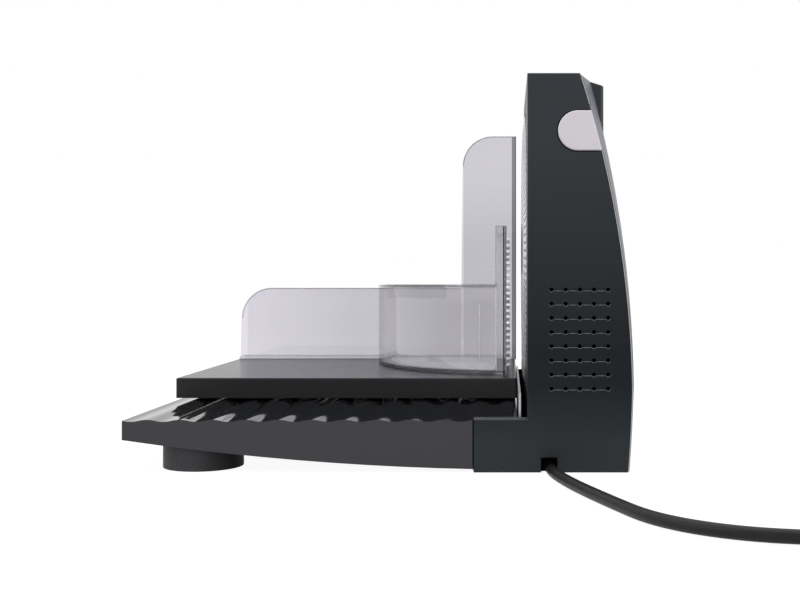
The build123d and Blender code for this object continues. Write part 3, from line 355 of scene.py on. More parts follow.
def make_floor():
    s = FLOOR_HALF
    mesh = bpy.data.meshes.new("floor")
    mesh.from_pydata([(-s, -s, 0), (s, -s, 0), (s, s, 0), (-s, s, 0)], [], [(0, 1, 2, 3)])
    floor = add_object("floor", mesh)
    material, tree = new_tree("pale_floor")
    paper = tree.add("ShaderNodeBsdfDiffuse", Color=rgba(FLOOR_PAPER))
    glow = tree.add("ShaderNodeEmission", Color=WHITE, Strength=seen_level(tree, FLOOR_GLOW))
    both = tree.pair("ShaderNodeAddShader", {}, paper, glow)
    tree.add("ShaderNodeOutputMaterial", Surface=both)
    mesh.materials.append(material)


def make_sky():
    world = bpy.data.worlds.new("studio")
    SCENE.world = world
    world.use_nodes = True
    tree = Tree(world.node_tree)
    sky = tree.add("ShaderNodeBackground", Color=WHITE, Strength=seen_level(tree, SKY_GLOW))
    tree.add("ShaderNodeOutputWorld", Surface=sky)


def make_studio():
    make_floor()
    make_sky()
    area_light("top_softbox", place=(-0.1, 0.1, 1.3), target=MACHINE, size=(1.4, 1.4), energy=10)
    area_light("left_softbox", place=(-1.2, -0.7, 0.8), target=MACHINE, size=(0.9, 0.9), energy=5)
    area_light("right_strip", place=(1.1, -0.5, 0.5), target=(0.15, -0.1, 0.15), size=(0.4, 1.0), energy=3)
    spot_light("spike_glint", place=(-0.45, -0.9, 0.25), target=SPIKED_FACE, angle=9, energy=16)
    SCENE.view_settings.view_transform = "Standard"


# Cord: one smooth line from the housing to the plug, with its turns

def half_turn(centre, spot, stop, side, low, high):
    """Points on one half turn of the coil, from one side to the other, rising from low to high."""
    cx, cy = centre
    halfway = (spot + stop) / 2
    reach = (stop - spot) / 2
    points = []
    for k in range(1, COIL_POINTS + 1):
        angle = math.pi * k / COIL_POINTS
        height = low + (high - low) * (1 - math.cos(angle)) / 2
        x = cx + side * abs(reach) * math.sin(angle)
        points.append((x, cy + halfway - reach * math.cos(angle), height))
    return points


def cord_points():
    """Points along the route, a coil that winds in below and out again above, and the lead to the plug."""
    start = ROUTE[-1]
    cx, cy = start[0] + 2 * CORD_R, start[1] + COIL_R
    top = REST_Z + COIL_LAYER
    points = [CORD_EXIT, *ROUTE, (cx, start[1], REST_Z)]
    shrink = COIL_STEP / 2
    changes = [-shrink] * LAYER_HALF_TURNS + [0.0] + [shrink] * (LAYER_HALF_TURNS - 1)
    spot = -COIL_R
    side = 1
    for turn, change in enumerate(changes):
        stop = -math.copysign(abs(spot) + change, spot)
        low = REST_Z if turn <= LAYER_HALF_TURNS else top
        high = REST_Z if turn < LAYER_HALF_TURNS else top
        points += half_turn((cx, cy), spot, stop, side, low, high)
        spot = stop
        side = -side
    reach = abs(spot) + shrink / 2
    bend_y = cy + spot + reach
    for k in range(1, LEAD_POINTS + 1):
        angle = math.pi / 2 * k / LEAD_POINTS
        points.append((cx + reach * math.sin(angle), bend_y - reach * math.cos(angle), top))
    return points + [(cx + reach, cy + run, top) for run in LEAD_RUN]


def make_cord(material):
    curve = bpy.data.curves.new("mains_cord", "CURVE")
    curve.dimensions = "3D"
    curve.bevel_depth = 1.0      # the points' own radius gives the thickness
    curve.bevel_resolution = 6
    curve.use_fill_caps = True
    curve.resolution_u = 8
    points = cord_points()
    spline = curve.splines.new("NURBS")
    spline.points.add(len(points) - 1)
    for point, place in zip(spline.points, points):
        point.co = (*place, 1)
        point.radius = CORD_R
    spline.order_u = 3
    spline.use_endpoint_u = True
    cord = add_object("mains_cord", curve)
    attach(cord, "housing")
    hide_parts("cord", "cord_coil")
    curve.materials.append(material)


# Pieces that repeat, made by node trees

class Shaper(Tree):
    """A geometry tree with named sizes, turned into a plain mesh that rides on a body."""

    def __init__(self, name, sizes):
        super().__init__(bpy.data.node_groups.new(name, "GeometryNodeTree"))
        self.name = name
        self.tree.interface.new_socket("Geometry", in_out="OUTPUT", socket_type="NodeSocketGeometry")
        for label, value in sizes.items():
            kind = "NodeSocketInt" if isinstance(value, int) else "NodeSocketFloat"
            self.tree.interface.new_socket(label, in_out="INPUT", socket_type=kind)
        self.sizes = sizes
        self.entry = self.add("NodeGroupInput").outputs

    def place(self, shape, move=(0, 0, 0), turn=(0, 0, 0)):
        node = self.add("GeometryNodeTransform", Geometry=shape, Translation=move)
        node.inputs["Rotation"].default_value = turn
        return node

    def grid(self, columns, across, rows, up):
        """Flat grid of points, from their numbers and spacings."""
        width = self.math("MULTIPLY", self.math("SUBTRACT", columns, 1.0), across)
        height = self.math("MULTIPLY", self.math("SUBTRACT", rows, 1.0), up)
        return self.add("GeometryNodeMeshGrid", Size_X=width, Size_Y=height, Vertices_X=columns,
                        Vertices_Y=rows)

    def beads(self, spots, half_sizes, **settings):
        """Slim round beads on a set of points."""
        bead = self.add("GeometryNodeMeshUVSphere", Segments=12, Rings=8, Radius=1.0)
        return self.copies(spots, bead, Scale=self.vector(*half_sizes), **settings)

    def copies(self, spots, shape, **settings):
        node = self.add("GeometryNodeInstanceOnPoints", Points=spots, Instance=shape, **settings)
        return node.outputs[0]

    def tube(self, curve, radius, resolution, **settings):
        wire = self.add("GeometryNodeCurvePrimitiveCircle", Resolution=resolution, Radius=radius)
        return self.add("GeometryNodeCurveToMesh", Curve=curve, Profile_Curve=wire, **settings)

    def make(self, shape, material, body, slot, rounded=True):
        solid = self.add("GeometryNodeRealizeInstances", Geometry=shape)
        smooth = self.add("GeometryNodeSetShadeSmooth", Geometry=solid, Shade_Smooth=rounded)
        dressed = self.add("GeometryNodeSetMaterial", Geometry=smooth, Material=material)
        self.add("NodeGroupOutput", Geometry=dressed)
        piece = add_object(self.name, bpy.data.meshes.new(self.name))
        modifier = piece.modifiers.new("shape", "NODES")
        modifier.node_group = self.tree
        for item in self.tree.interface.items_tree:
            if item.in_out == "INPUT":
                modifier[item.identifier] = self.sizes[item.name]
        mesh = plain_mesh(piece)
        piece.modifiers.clear()
        piece.data = mesh
        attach(piece, body)
        return piece


def vent_grid(shaper, columns, across, centre):
    """Points on the vented end in the vents' rows, with some columns across."""
    grid = shaper.grid(columns, across, shaper.entry["Rows"], VENT_PITCH)
    return shaper.place(grid, centre, (math.pi / 2, 0, 0))


def make_vent_links(material):
    """Slim raised links between the vent holes of each row, lying in the rows' grooves, in a paler grey that
    paints a highlight on them.
    """
    shaper = Shaper("vent_links", {"Links": 4, "Rows": VENT_ROWS, "Pitch": VENT_PITCH,
                                   "Half Length": 0.0031, "Radius": 0.0003})
    sizes = shaper.entry
    spots = vent_grid(shaper, sizes["Links"], sizes["Pitch"], LINK_MIDDLE)
    links = shaper.beads(spots, (sizes["Half Length"], sizes["Radius"], sizes["Radius"]))
    shaper.make(links, material, "housing", "housing_plastic")


def make_vent_lips(material):
    """Painted highlights on the lower lips of the vent holes."""
    shaper = Shaper("vent_lips", {"Holes": 5, "Rows": VENT_ROWS, "Pitch": VENT_PITCH,
                                  "Radius": 0.0015, "Wire Radius": 0.0002})
    sizes = shaper.entry
    spots = vent_grid(shaper, sizes["Holes"], sizes["Pitch"], VENT_MIDDLE)
    arc = shaper.add("GeometryNodeCurveArc", Resolution=16, Radius=sizes["Radius"], Start_Angle=LIP_START,
                     Sweep_Angle=LIP_SWEEP)
    tube = shaper.tube(arc, sizes["Wire Radius"], resolution=8, Fill_Caps=True)
    lips = shaper.copies(spots, shaper.place(tube, turn=(math.pi / 2, 0, 0)))
    shaper.make(lips, material, "housing", "housing_plastic")


def make_groove_ends(material):
    """Rounded plugs that close the rows' grooves outside the last holes."""
    shaper = Shaper("groove_ends", {"Ends": 2, "Rows": VENT_ROWS, "Reach": 0.0398, "Half Length": 0.0011,
                                    "Half Depth": 0.0004, "Half Height": 0.00064})
    sizes = shaper.entry
    spots = vent_grid(shaper, sizes["Ends"], sizes["Reach"], GROOVE_MIDDLE)
    ends = shaper.beads(spots, (sizes["Half Length"], sizes["Half Depth"], sizes["Half Height"]))
    shaper.make(ends, material, "housing", "housing_plastic")


def make_knob_marks(material):
    """Raised thickness marks round the rim of the knob's face."""
    shaper = Shaper("knob_marks", {"Marks": 24, "Ring": 0.0205, "Half Length": 0.0012, "Radius": 0.00035})
    sizes = shaper.entry
    ring = shaper.add("GeometryNodeMeshCircle", Vertices=sizes["Marks"], Radius=sizes["Ring"])
    outward = shaper.add("FunctionNodeAlignRotationToVector", {"axis": "X"},
                         Vector=shaper.add("GeometryNodeInputPosition"))
    slim = (sizes["Half Length"], sizes["Radius"], sizes["Radius"])
    marks = shaper.beads(ring, slim, Rotation=outward)
    facing = shaper.place(marks, KNOB_FACE, (0, math.pi / 2, 0))
    shaper.make(facing, material, "knob", "button_plastic")


def make_plug_sleeve(material):
    """Tapered run of soft rings where the cord goes into the plug."""
    shaper = Shaper("plug_sleeve", {"Rings": 9, "Pitch": 0.0026, "Ring Radius": 0.0032,
                                    "Wire Radius": 0.0011, "Taper": 0.045})
    sizes = shaper.entry
    step = shaper.vector(y=shaper.math("MULTIPLY", sizes["Pitch"], -1.0))
    line = shaper.add("GeometryNodeMeshLine", Count=sizes["Rings"], Offset=step)
    row = shaper.place(line, PLUG_END)
    ring = shaper.add("GeometryNodeCurvePrimitiveCircle", Resolution=28, Radius=sizes["Ring Radius"])
    hoop = shaper.place(shaper.tube(ring, sizes["Wire Radius"], resolution=10), turn=(math.pi / 2, 0, 0))
    back = shaper.math("SUBTRACT", sizes["Rings"], shaper.add("GeometryNodeInputIndex"))
    size = shaper.math("ADD", 1.0, shaper.math("MULTIPLY", back, sizes["Taper"]))
    hoops = shaper.copies(row, hoop, Scale=shaper.vector(size, 1.0, size))
    return shaper.make(hoops, material, "housing", "plug_plastic")


# Beads and sheets

def arc_points(first, between, last, count):
    """Points along the circle through three points in the XZ plane."""
    (x1, z1), (x2, z2), (x3, z3) = first, between, last
    k1 = (x2 ** 2 - x1 ** 2 + z2 ** 2 - z1 ** 2) / 2
    k2 = (x3 ** 2 - x2 ** 2 + z3 ** 2 - z2 ** 2) / 2
    cross = (x2 - x1) * (z3 - z2) - (x3 - x2) * (z2 - z1)
    cx = (k1 * (z3 - z2) - k2 * (z2 - z1)) / cross
    cz = ((x2 - x1) * k2 - (x3 - x2) * k1) / cross
    radius = math.hypot(x1 - cx, z1 - cz)
    start = math.atan2(z1 - cz, x1 - cx)
    turn = math.atan2(z3 - cz, x3 - cx) - start
    spots = [start + turn * k / (count - 1) for k in range(count)]
    return [(cx + radius * math.cos(a), cz + radius * math.sin(a)) for a in spots]


def make_beads(name, lines, radius, material, body):
    """Round beads along lines of points, as one plain mesh."""
    curve = bpy.data.curves.new(name, "CURVE")
    curve.dimensions = "3D"
    curve.bevel_depth = radius
    curve.bevel_resolution = 3
    curve.use_fill_caps = True
    for line in lines:
        spline = curve.splines.new("POLY")
        spline.points.add(len(line) - 1)
        for point, place in zip(spline.points, line):
            point.co = (*place, 1)
    holder = add_object(name + "_line", curve)
    mesh = plain_mesh(holder)
    bpy.data.objects.remove(holder)
    mesh.materials.append(material)
    mesh.shade_smooth()
    beads = add_object(name, mesh)
    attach(beads, body)
    return beads


def make_slab(name, outline, low, high, material, body):
    """Flat sheet with a convex outline."""
    count = len(outline)
    points = [(x, y, low) for x, y in outline] + [(x, y, high) for x, y in outline]
    faces = [tuple(reversed(range(count))), tuple(range(count, 2 * count))]
    for k in range(count):
        after = (k + 1) % count
        faces.append((k, after, count + after, count + k))
    mesh = bpy.data.meshes.new(name)
    mesh.from_pydata(points, [], faces)
    mesh.materials.append(material)
    slab = add_object(name, mesh)
    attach(slab, body)
    return slab


def rectangle(across, along):
    """Corners of a rectangle from its spans in X and Y."""
    (left, right), (near, far) = across, along
    return [(left, near), (right, near), (right, far), (left, far)]


def make_seam_bead(material, highlight):
    """Dark bead at the seam between the vented end and the pale band, as painted shade in the seam's gap, and
    a painted highlight along the end's edge, both broken at the button.
    """
    upper, lower = EDGE_POINTS
    edge = arc_points(*END_EDGE[:3], upper) + arc_points(*END_EDGE[2:], lower)[1:]
    button_low, button_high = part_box("power_button")
    spans = ((0.0, button_low.z - BUTTON_GAP), (button_high.z + BUTTON_GAP, SEAM_TOP))
    lines = [[(x + SEAM_PROUD, SEAM_Y, z) for x, z in edge if low <= z <= high] for low, high in spans]
    make_beads("seam_bead", lines, SEAM_R, material, "housing")
    glint = [[(x - SEAM_PROUD, END_FACE_Y, z) for x, _, z in line] for line in lines]
    make_beads("edge_glint", glint, EDGE_R, highlight, "housing")


def hood_line(z, inset, stop_x):
    """Points along the hood's curved wall at one height, from its back corner to the spiked sheet."""
    wide = HOOD_HALF[0] - inset
    deep = HOOD_HALF[1] - inset
    stop = math.acos((stop_x - HOOD_CENTRE[0]) / wide)
    spots = [math.pi + (math.pi - stop) * k / HOOD_STEPS for k in range(HOOD_STEPS + 1)]
    return [(HOOD_CENTRE[0] + wide * math.cos(a), HOOD_CENTRE[1] + deep * math.sin(a), z) for a in spots]


def make_hood_rims(material):
    """Dark beads as painted shade on the edges where the eye looks along the hood's walls."""
    z = HOOD_TOP - RIM_R
    back_y = HOOD_CENTRE[1] - RIM_R
    back = [(HOOD_LOW.x + RIM_R, back_y, z), (HOOD_STOP, back_y, z)]
    rims = [hood_line(z, RIM_R, HOOD_STOP), back]
    make_beads("hood_top_rims", rims, RIM_R, material, "pusher")
    foot = hood_line(HOOD_FOOT + FOOT_RIM_R, FOOT_RIM_R, RIM_END)
    make_beads("hood_foot_rim", [foot], FOOT_RIM_R, material, "pusher")
    (left, near), (right, top) = POST_EDGE
    post = [(left, near, HOOD_TOP), (left, near, top), (right, near, top)]
    make_beads("hood_post_rim", [post], FINE_R, material, "pusher")


def make_hood_lines(material):
    """Fine white ribs down the outside of the hood's wall, by its grip and its end post, as painted
    highlights.
    """
    lines = [[(x, y, HOOD_FOOT + RIB_LIFT), (x, y, top)] for x, y, top in HOOD_RIBS]
    make_beads("hood_lines", lines, RIB_R, material, "pusher")


def make_hood_floor(material):
    """Hazy sheet that closes the hood's foot ring and slides on the table."""
    curve = hood_line(0, HOOD_RING + FLOOR_GAP, HOOD_STOP - FLOOR_STOP_GAP)
    back = HOOD_BACK - FLOOR_GAP
    outline = [(x, y) for x, y, _ in curve if y < back]
    outline += [(outline[-1][0], back), (outline[0][0], back)]
    low, high = (HOOD_FOOT + height for height in HOOD_FLOOR)
    make_slab("hood_floor", outline, low, high, material, "pusher")


def make_spikes(sheet_finish, tip_finish):
    """The pusher's clear backing sheet with rows of small blunt spikes."""
    outline = rectangle(SPIKE_SHEET, SPIKE_REACH)
    sheet = make_slab("spike_sheet", outline, HOOD_FOOT, SPIKE_TOP, sheet_finish, "pusher")
    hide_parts("spike_plate")
    shaper = Shaper("spike_rows", {"Rows": 22, "Columns": 15, "Row Pitch": 0.0045, "Column Pitch": 0.0107,
                                   "Length": 0.0027, "Foot Radius": 0.0014, "Tip Radius": 0.0008})
    sizes = shaper.entry
    grid = shaper.grid(sizes["Rows"], sizes["Row Pitch"], sizes["Columns"], sizes["Column Pitch"])
    centre = (SPIKE_SHEET[1] - SPIKE_SINK, sum(SPIKE_REACH) / 2, SPIKE_MIDDLE)
    upright = shaper.place(grid, centre, (0, math.pi / 2, 0))
    cone = shaper.add("GeometryNodeMeshCone", Vertices=4, Radius_Top=sizes["Tip Radius"],
                      Radius_Bottom=sizes["Foot Radius"], Depth=sizes["Length"])
    square = shaper.place(cone, turn=(0, 0, math.pi / 4))
    lying = shaper.place(square, turn=(0, math.pi / 2, 0))
    shaper.make(shaper.copies(upright, lying), tip_finish, "pusher", "pusher_smoke", rounded=False)


def make_guard_lines(material):
    """Fine dark beads along the guard's rounded tops and its foot, as painted shade on its edges."""
    y = GUARD_FACE + RIM_R
    angles = [math.pi / 2 * k / GUARD_BEND_STEPS for k in range(GUARD_BEND_STEPS + 1)]
    lines = []
    for (left, right), top in GUARD_TOPS:
        bend = [(left + GUARD_ROUND * (1 - math.cos(a)), y, top - GUARD_ROUND * (1 - math.sin(a)))
                for a in angles]
        lines.append(bend + [(right, y, top)])
    make_beads("guard_top_lines", lines, LINE_R, material, "carriage")
    span, z = GUARD_FOOT_LINE
    foot = [(x, GUARD_FACE - FINE_R / 2, z) for x in span]
    make_beads("guard_foot_line", [foot], FINE_R, material, "carriage")


def make_button_spring(material):
    """Coil spring behind the button."""
    low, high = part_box("button_spring")
    x, _, z = (low + high) / 2
    radius = (high.x - low.x) / 2 - SPRING_WIRE
    start = low.y + SPRING_WIRE
    length = high.y - SPRING_WIRE - start
    line = []
    for k in range(SPRING_STEPS + 1):
        share = k / SPRING_STEPS
        angle = 2 * math.pi * SPRING_TURNS * share
        line.append((x + radius * math.cos(angle), start + length * share, z + radius * math.sin(angle)))
    spring = make_beads("button_coil", [line], SPRING_WIRE, material, "housing")
    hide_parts("button_spring")
    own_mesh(spring)


def make_mouth_shade_sheet(material):
    """Dark sheet in the notch where the cord leaves the housing, as painted shade."""
    across, along, (low, high) = MOUTH
    make_slab("mouth_shade_sheet", rectangle(across, along), low, high, material, "housing")


# Painted light and shade: slow changes of tone, as shares of light

def housing_shade(tree, coords):
    """Painted light and shade: brightest at the housing's top, darkest below its middle and brighter again at
    its foot.
    """
    z = tree.split(coords)["Z"]
    upper = tree.spread(z, HOUSING_DIM, 1.0, *HOUSING_FADE)
    return tree.math("ADD", upper, tree.spread(z, HOUSING_FOOT_GAIN, 0.0, *HOUSING_FOOT_FADE))


def cord_shade(tree, coords):
    """Painted shadow: dark beside the housing and brighter as the cord comes forward."""
    return tree.spread(tree.split(coords)["Y"], CORD_DIM, 1, *CORD_FADE)


def foot_shade(tree, coords):
    """Painted shade: dark on the side of the suction feet that is turned to the housing."""
    return tree.spread(tree.split(coords)["X"], FOOT_DIM, 1, *FOOT_FADE)


def guard_shade(tree, coords):
    """Painted shade: less light down the tall end, across the low end and along the flange; painted highlights
    at the left edges.
    """
    place = tree.split(coords)
    x, z = place["X"], place["Z"]
    tall = tree.spread(x, 0, 1, *GUARD_STEP)
    low = tree.math("SUBTRACT", 1.0, tall)
    tall_loss = tree.math("MULTIPLY", tall, tree.spread(z, TALL_LOSS, 0.0, *TALL_FADE))
    across = tree.spread(x, *LOW_LOSS, *LOW_SLOPE)
    upward = tree.spread(z, LOW_FOOT_LOSS, 0.0, *LOW_FADE)
    low_loss = tree.math("MULTIPLY", low, tree.math("ADD", across, upward))
    flange_loss = tree.spread(x, 0.0, FLANGE_LOSS, *FLANGE_STEP)
    loss = tree.math("ADD", tree.math("ADD", tall_loss, low_loss), flange_loss)
    from_step = tree.math("ABSOLUTE", tree.math("SUBTRACT", x, STEP_EDGE_X))
    rim_gain = tree.spread(x, LOW_RIM_GAIN, 0.0, *LOW_RIM)
    gain = tree.math("ADD", rim_gain, tree.spread(from_step, STEP_EDGE_GAIN, 0.0, *STEP_EDGE))
    kept = tree.math("SUBTRACT", tree.math("ADD", 1.0, gain), loss)
    return tree.math("DIVIDE", kept, GUARD_PEAK)


def painted_gullet_shade(tree, apart, length):
    """Painted shade in the hollows ground between the blade's teeth, on the side that faces the table."""
    place = tree.split(apart)
    turn = tree.math("ARCTAN2", place["Y"], place["Z"])
    wave = tree.math("COSINE", tree.math("MULTIPLY", turn, float(BLADE_TEETH)))
    rim = tree.spread(length, 0, GULLET_DARK, *GULLET_RING)
    ground = tree.spread(place["X"], 1, 0, *GROUND_SIDE)
    return tree.math("MULTIPLY", tree.math("MULTIPLY", rim, ground), tree.spread(wave, 0, 1, *GULLET_WAVE))


# Finishes

def set_gloss(tree, surface, colour, shine, lit=None):
    """Sets colour and gloss, both dimmed by a painted share of light where one is given."""
    if lit is not None:
        colour = tree.blend(lit, BLACK, colour)
        shine = tree.math("MULTIPLY", lit, shine)
    tree.put(surface, "Base Color", colour)
    tree.put(surface, "Specular IOR Level", shine)


def set_bump(tree, surface, height, strength, depth):
    bump = tree.add("ShaderNodeBump", Height=height, Strength=strength, Distance=depth)
    tree.put(surface, "Normal", bump)


def moulded_plastic(name, colour, rough, grain=0.00006, patch=0.12, shine=0.28, shade=None):
    """Moulded plastic with a fine grain, faint handling patches and, with shade, painted light and shade as a
    slow change of tone.
    """
    material, tree, surface, coords = new_material(name)
    patches = tree.noise(coords, scale=9, detail=4)
    lighter = toned(colour, times=1 + patch, plus=0.0015)
    shown = tree.blend(tree.spread(patches, 0, 1), rgba(colour), lighter)
    lit = shade(tree, coords) if shade else None
    set_gloss(tree, surface, shown, shine, lit)
    tree.put(surface, "Roughness", tree.spread(patches, low=rough - 0.04, high=rough + 0.06))
    set_bump(tree, surface, tree.noise(coords, GRAIN_SCALE, detail=1), strength=0.35, depth=grain)
    return material


def gloss_top_plastic(name, colour, side_colour, rough_top, rough_side, shine=0.3, worn_by=0.08):
    """Polished upper faces and satin sides, with fine dust-like scratches on top."""
    material, tree, surface, coords = new_material(name)
    normal = tree.add("ShaderNodeNewGeometry").outputs["Normal"]
    flat = tree.spread(tree.split(normal)["Z"], 0, 1, start=0.5, stop=0.9)
    patches = tree.noise(coords, scale=7, detail=3)
    top = tree.blend(tree.spread(patches, 0, 1), rgba(colour), toned(colour, times=1.3, plus=0.001))
    set_gloss(tree, surface, tree.blend(flat, rgba(side_colour), top), shine)
    drawn_out = tree.add("ShaderNodeMapping", Vector=coords, Scale=(1.0, 0.08, 1.0))
    rub = tree.math("SUBTRACT", tree.noise(drawn_out, scale=420, detail=3), 0.5)
    base = tree.spread(flat, rough_side, rough_top, 0, 1)
    tree.put(surface, "Roughness", tree.math("ADD", base, tree.math("MULTIPLY", rub, worn_by)))
    side = tree.math("MULTIPLY", tree.math("SUBTRACT", 1.0, flat), SIDE_GRAIN)
    set_bump(tree, surface, tree.noise(coords, scale=2200, detail=1), strength=side, depth=0.00006)
    return material


def clear_plastic(name, tint, rough, keeps, density, shade=None):
    """Clear moulded plastic: darker along its depth, with faint flow waviness and hairline scratches."""
    material, tree, surface, coords = new_material(name)
    flow = tree.noise(coords, scale=14, detail=2)
    colour = tree.blend(tree.spread(flow, 0, 1), rgba(tint), toned(tint, times=0.98))
    # painted light and shade on the tint, where given
    if shade:
        colour = tree.blend(shade(tree, coords), BLACK, colour)
    tree.put(surface, "Base Color", colour)
    tree.put(surface, "Transmission Weight", 1.0)
    tree.put(surface, "IOR", PLASTIC_IOR)
    scratch = tree.noise(coords, scale=300, detail=3)
    tree.put(surface, "Roughness", tree.spread(scratch, rough, rough + 0.05, start=0.45, stop=0.75))
    set_bump(tree, surface, flow, strength=0.12, depth=0.0003)
    depth = tree.add("ShaderNodeVolumeAbsorption", Color=rgba(keeps), Density=density)
    tree.put(tree.output, "Volume", depth)
    return material


def frosted_plastic(name, clear):
    """Frosted plastic that catches the light and lets a share of it through."""
    material, tree, surface, coords = new_material(name)
    haze = tree.noise(coords, scale=240, detail=3)
    bright, dim = FROST
    tree.put(surface, "Base Color", tree.blend(tree.spread(haze, 0, 1), rgba(bright), rgba(dim)))
    tree.put(surface, "Transmission Weight", clear)
    tree.put(surface, "IOR", PLASTIC_IOR)
    tree.put(surface, "Roughness", tree.spread(haze, low=0.12, high=0.2))
    return material


def turned_steel(name, colour, rough, centre, across, hollow_shade_share=None):
    """Metal with fine tool marks round a centre in the plane across, and painted shade in the hollows where it
    is given.
    """
    material, tree, surface, coords = new_material(name)
    apart = tree.vector_math("SUBTRACT", coords, centre)
    flat = tree.vector_math("MULTIPLY", apart, across)
    length = tree.vector_math("LENGTH", flat).outputs["Value"]
    rings = tree.noise(tree.vector(length), RING_SCALE, detail=2)
    smudge = tree.noise(coords, scale=22, detail=3)
    shown = tree.blend(tree.spread(rings, 0, 1), rgba(colour), toned(colour, times=0.86))
    tree.put(surface, "Metallic", 1.0)
    if hollow_shade_share:
        hollow_shade = hollow_shade_share(tree, apart, length)
        shown = tree.blend(hollow_shade, shown, rgba(GULLET_SHADE_GREY))
        tree.put(surface, "Metallic", tree.math("SUBTRACT", 1.0, hollow_shade))
        tree.put(surface, "Specular IOR Level", 0.0)
    tree.put(surface, "Base Color", shown)
    tree.put(surface, "Roughness", tree.spread(smudge, rough, rough + 0.12))
    set_bump(tree, surface, rings, strength=0.25, depth=0.00004)
    return material


def brushed_metal(name, colour, rough, stretch=(1.0, 1.0, 0.03)):
    """Metal drawn or brushed along one axis."""
    material, tree, surface, coords = new_material(name)
    grain = tree.noise(tree.add("ShaderNodeMapping", Vector=coords, Scale=stretch), scale=1800, detail=3)
    smudge = tree.noise(coords, scale=30, detail=3)
    tree.put(surface, "Metallic", 1.0)
    shown = tree.blend(tree.spread(grain, 0, 1), rgba(colour), toned(colour, times=0.85))
    tree.put(surface, "Base Color", shown)
    tree.put(surface, "Roughness", tree.spread(smudge, rough, rough + 0.14))
    set_bump(tree, surface, grain, strength=0.2, depth=0.00005)
    return material


def soft_rubber(name, colour, rough, shade=None, shine=0.3):
    """Matte rubber with a fine bloom of lighter dust and, with shade, painted light and shade as a slow change
    of tone.
    """
    material, tree, surface, coords = new_material(name)
    dust = tree.noise(coords, scale=160, detail=5, rough=0.65)
    pale = toned(colour, times=1.7, plus=0.004)
    shown = tree.blend(tree.spread(dust, 0, 0.8, start=0.42, stop=0.72), rgba(colour), pale)
    lit = shade(tree, coords) if shade else None
    set_gloss(tree, surface, shown, shine, lit)
    tree.put(surface, "Roughness", tree.spread(dust, rough, rough + 0.12))
    set_bump(tree, surface, tree.noise(coords, scale=1500, detail=2), strength=0.3, depth=0.00008)
    return material


def plastics():
    return {
        "housing_plastic": moulded_plastic("charcoal_moulding", (0.0102, 0.0160, 0.0218), 0.36, shine=0.41,
                                           shade=housing_shade),
        "band_plastic": moulded_plastic("silver_band", (0.16, 0.16, 0.185), 0.40, grain=0.00003, shine=0.18),
        "base_gloss": gloss_top_plastic("polished_tray", (0.006, 0.007, 0.0085), (0.052, 0.050, 0.058),
                                        rough_top=0.05, rough_side=0.36),
        "table_gloss": gloss_top_plastic("satin_table", (0.010, 0.011, 0.014), (0.026, 0.0265, 0.028),
                                         rough_top=0.24, rough_side=0.36, shine=0.17, worn_by=0.03),
        "inner_plastic": moulded_plastic("black_moulding", (0.014, 0.014, 0.016), 0.45),
        "knob_plastic": moulded_plastic("knob_moulding", (0.012, 0.013, 0.015), 0.38),
        "gear_plastic": moulded_plastic("natural_nylon", (0.62, 0.59, 0.50), 0.42),
        "button_plastic": moulded_plastic("pale_button", (0.92, 0.87, 0.93), 0.35, grain=0.00003,
                                          patch=0.05),
        "painted_edge_light": moulded_plastic("painted_edge_light", (0.93, 0.92, 0.94), 0.3, patch=0.02),
        # Paler grey that paints the highlights on the vent links and lips
        "vent_links": moulded_plastic("painted_link_highlight", (0.15, 0.155, 0.16), 0.4),
        # Light grey for the painted highlight along the end's edge
        "painted_edge_highlight": moulded_plastic("painted_edge_highlight", (0.55, 0.56, 0.58), 0.35),
        "dial_marks": moulded_plastic("dial_marks", (0.72, 0.72, 0.71), 0.5, patch=0.05),
        "unlit_black": moulded_plastic("unlit_shade_black", (0.002, 0.002, 0.0022), 0.8, shine=0.05),
    }


def clear_plastics():
    return {
        "guard_clear": clear_plastic("clear_guard", (0.868, 0.8385, 0.92), 0.03, keeps=(0.05, 0.04, 0.10),
                                     density=30, shade=guard_shade),
        "pusher_smoke": clear_plastic("clear_pusher", (0.953, 0.948, 0.958), 0.02, keeps=(0.04, 0.03, 0.09),
                                      density=42),
        "spike_sheet": clear_plastic("spike_sheet", (0.97, 0.97, 0.975), 0.02, keeps=(0.1, 0.1, 0.12),
                                     density=10),
        # Dark beads as painted shade on the clear edges
        "clear_edge_shade": clear_plastic("clear_edge_shade", (0.9, 0.9, 0.91), 0.05, keeps=(0.05, 0.04, 0.08),
                                     density=600),
        # White tips as a painted highlight for the glints on the clear spikes
        "spike_tips": frosted_plastic("painted_spike_glints", clear=0.05),
        "hazy_floor": frosted_plastic("hazy_floor", clear=0.4),
    }


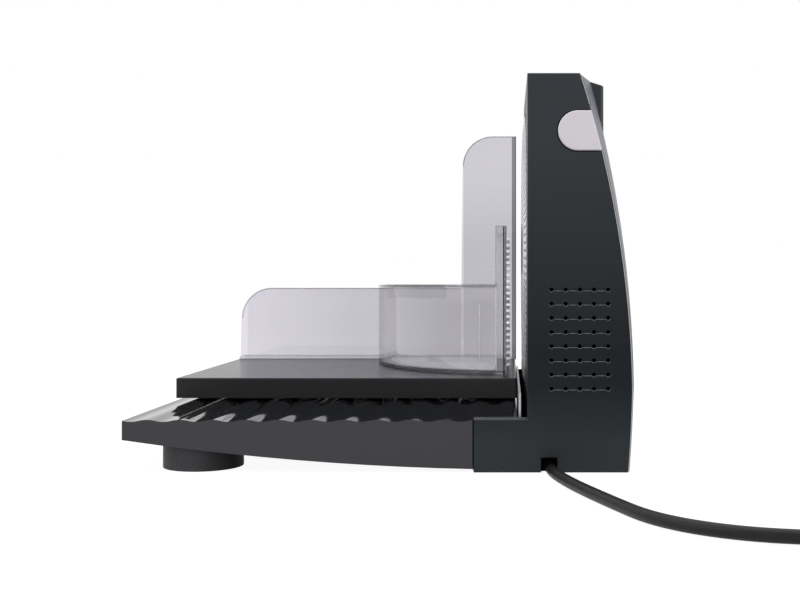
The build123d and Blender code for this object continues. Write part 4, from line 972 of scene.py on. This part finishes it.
def rubbers():
    return {
        "foot_rubber": soft_rubber("foot_rubber", (0.040, 0.040, 0.044), 0.55, shade=foot_shade),
        "cord_rubber": soft_rubber("cord_jacket", (0.0075, 0.0075, 0.0085), 0.42, shade=cord_shade,
                                   shine=0.25),
        "plug_plastic": soft_rubber("plug_moulding", (0.012, 0.012, 0.0135), 0.45),
        "magnet_iron": soft_rubber("ferrite", (0.03, 0.03, 0.033), 0.6),
    }


def metals():
    return {
        "blade_steel": turned_steel("ground_blade", (0.60, 0.60, 0.62), 0.22, BLADE_AXIS, across=(0, 1, 1),
                                    hollow_shade_share=painted_gullet_shade),
        "motor_steel": turned_steel("turned_steel", (0.52, 0.52, 0.54), 0.28, MOTOR_AXIS, across=(1, 0, 1)),
        "screw_steel": brushed_metal("bright_screws", (0.55, 0.55, 0.57), 0.25),
        "bush_brass": brushed_metal("sintered_bronze", (0.55, 0.40, 0.20), 0.35),
        "pin_brass": brushed_metal("plated_pins", (0.62, 0.60, 0.56), 0.2, stretch=(1.0, 0.03, 1.0)),
        "frame_aluminium": brushed_metal("cast_frame", (0.55, 0.55, 0.57), 0.45, stretch=(1, 1, 1)),
        "gauge_aluminium": brushed_metal("anodised_gauge", (0.52, 0.52, 0.55), 0.3,
                                         stretch=(1.0, 0.03, 1.0)),
    }


def dress(finishes):
    """Gives every node the finish of its slot, and black as painted shade to those that are seen only through
    the vents.
    """
    for part in frame["record"]["subparts"]:
        name = part["node"]
        finish = "unlit_black" if name in DARK_INSIDE else part["material_slot"]
        materials = NODES[name].data.materials
        materials.clear()
        materials.append(finishes[finish])


# Main run

place_camera()
make_studio()
FINISHES = {**plastics(), **clear_plastics(), **rubbers(), **metals()}
SLEEVE = make_plug_sleeve(FINISHES["plug_plastic"])
make_cord(FINISHES["cord_rubber"])
dress(FINISHES)
make_vent_links(FINISHES["vent_links"])
make_vent_lips(FINISHES["vent_links"])
make_groove_ends(FINISHES["housing_plastic"])
make_knob_marks(FINISHES["dial_marks"])
make_seam_bead(FINISHES["inner_plastic"], FINISHES["painted_edge_highlight"])
make_hood_rims(FINISHES["clear_edge_shade"])
make_spikes(FINISHES["spike_sheet"], FINISHES["spike_tips"])
make_hood_floor(FINISHES["hazy_floor"])
make_hood_lines(FINISHES["painted_edge_light"])
make_guard_lines(FINISHES["clear_edge_shade"])
make_mouth_shade_sheet(FINISHES["unlit_black"])
make_button_spring(FINISHES["screw_steel"])

bpy.context.view_layer.update()
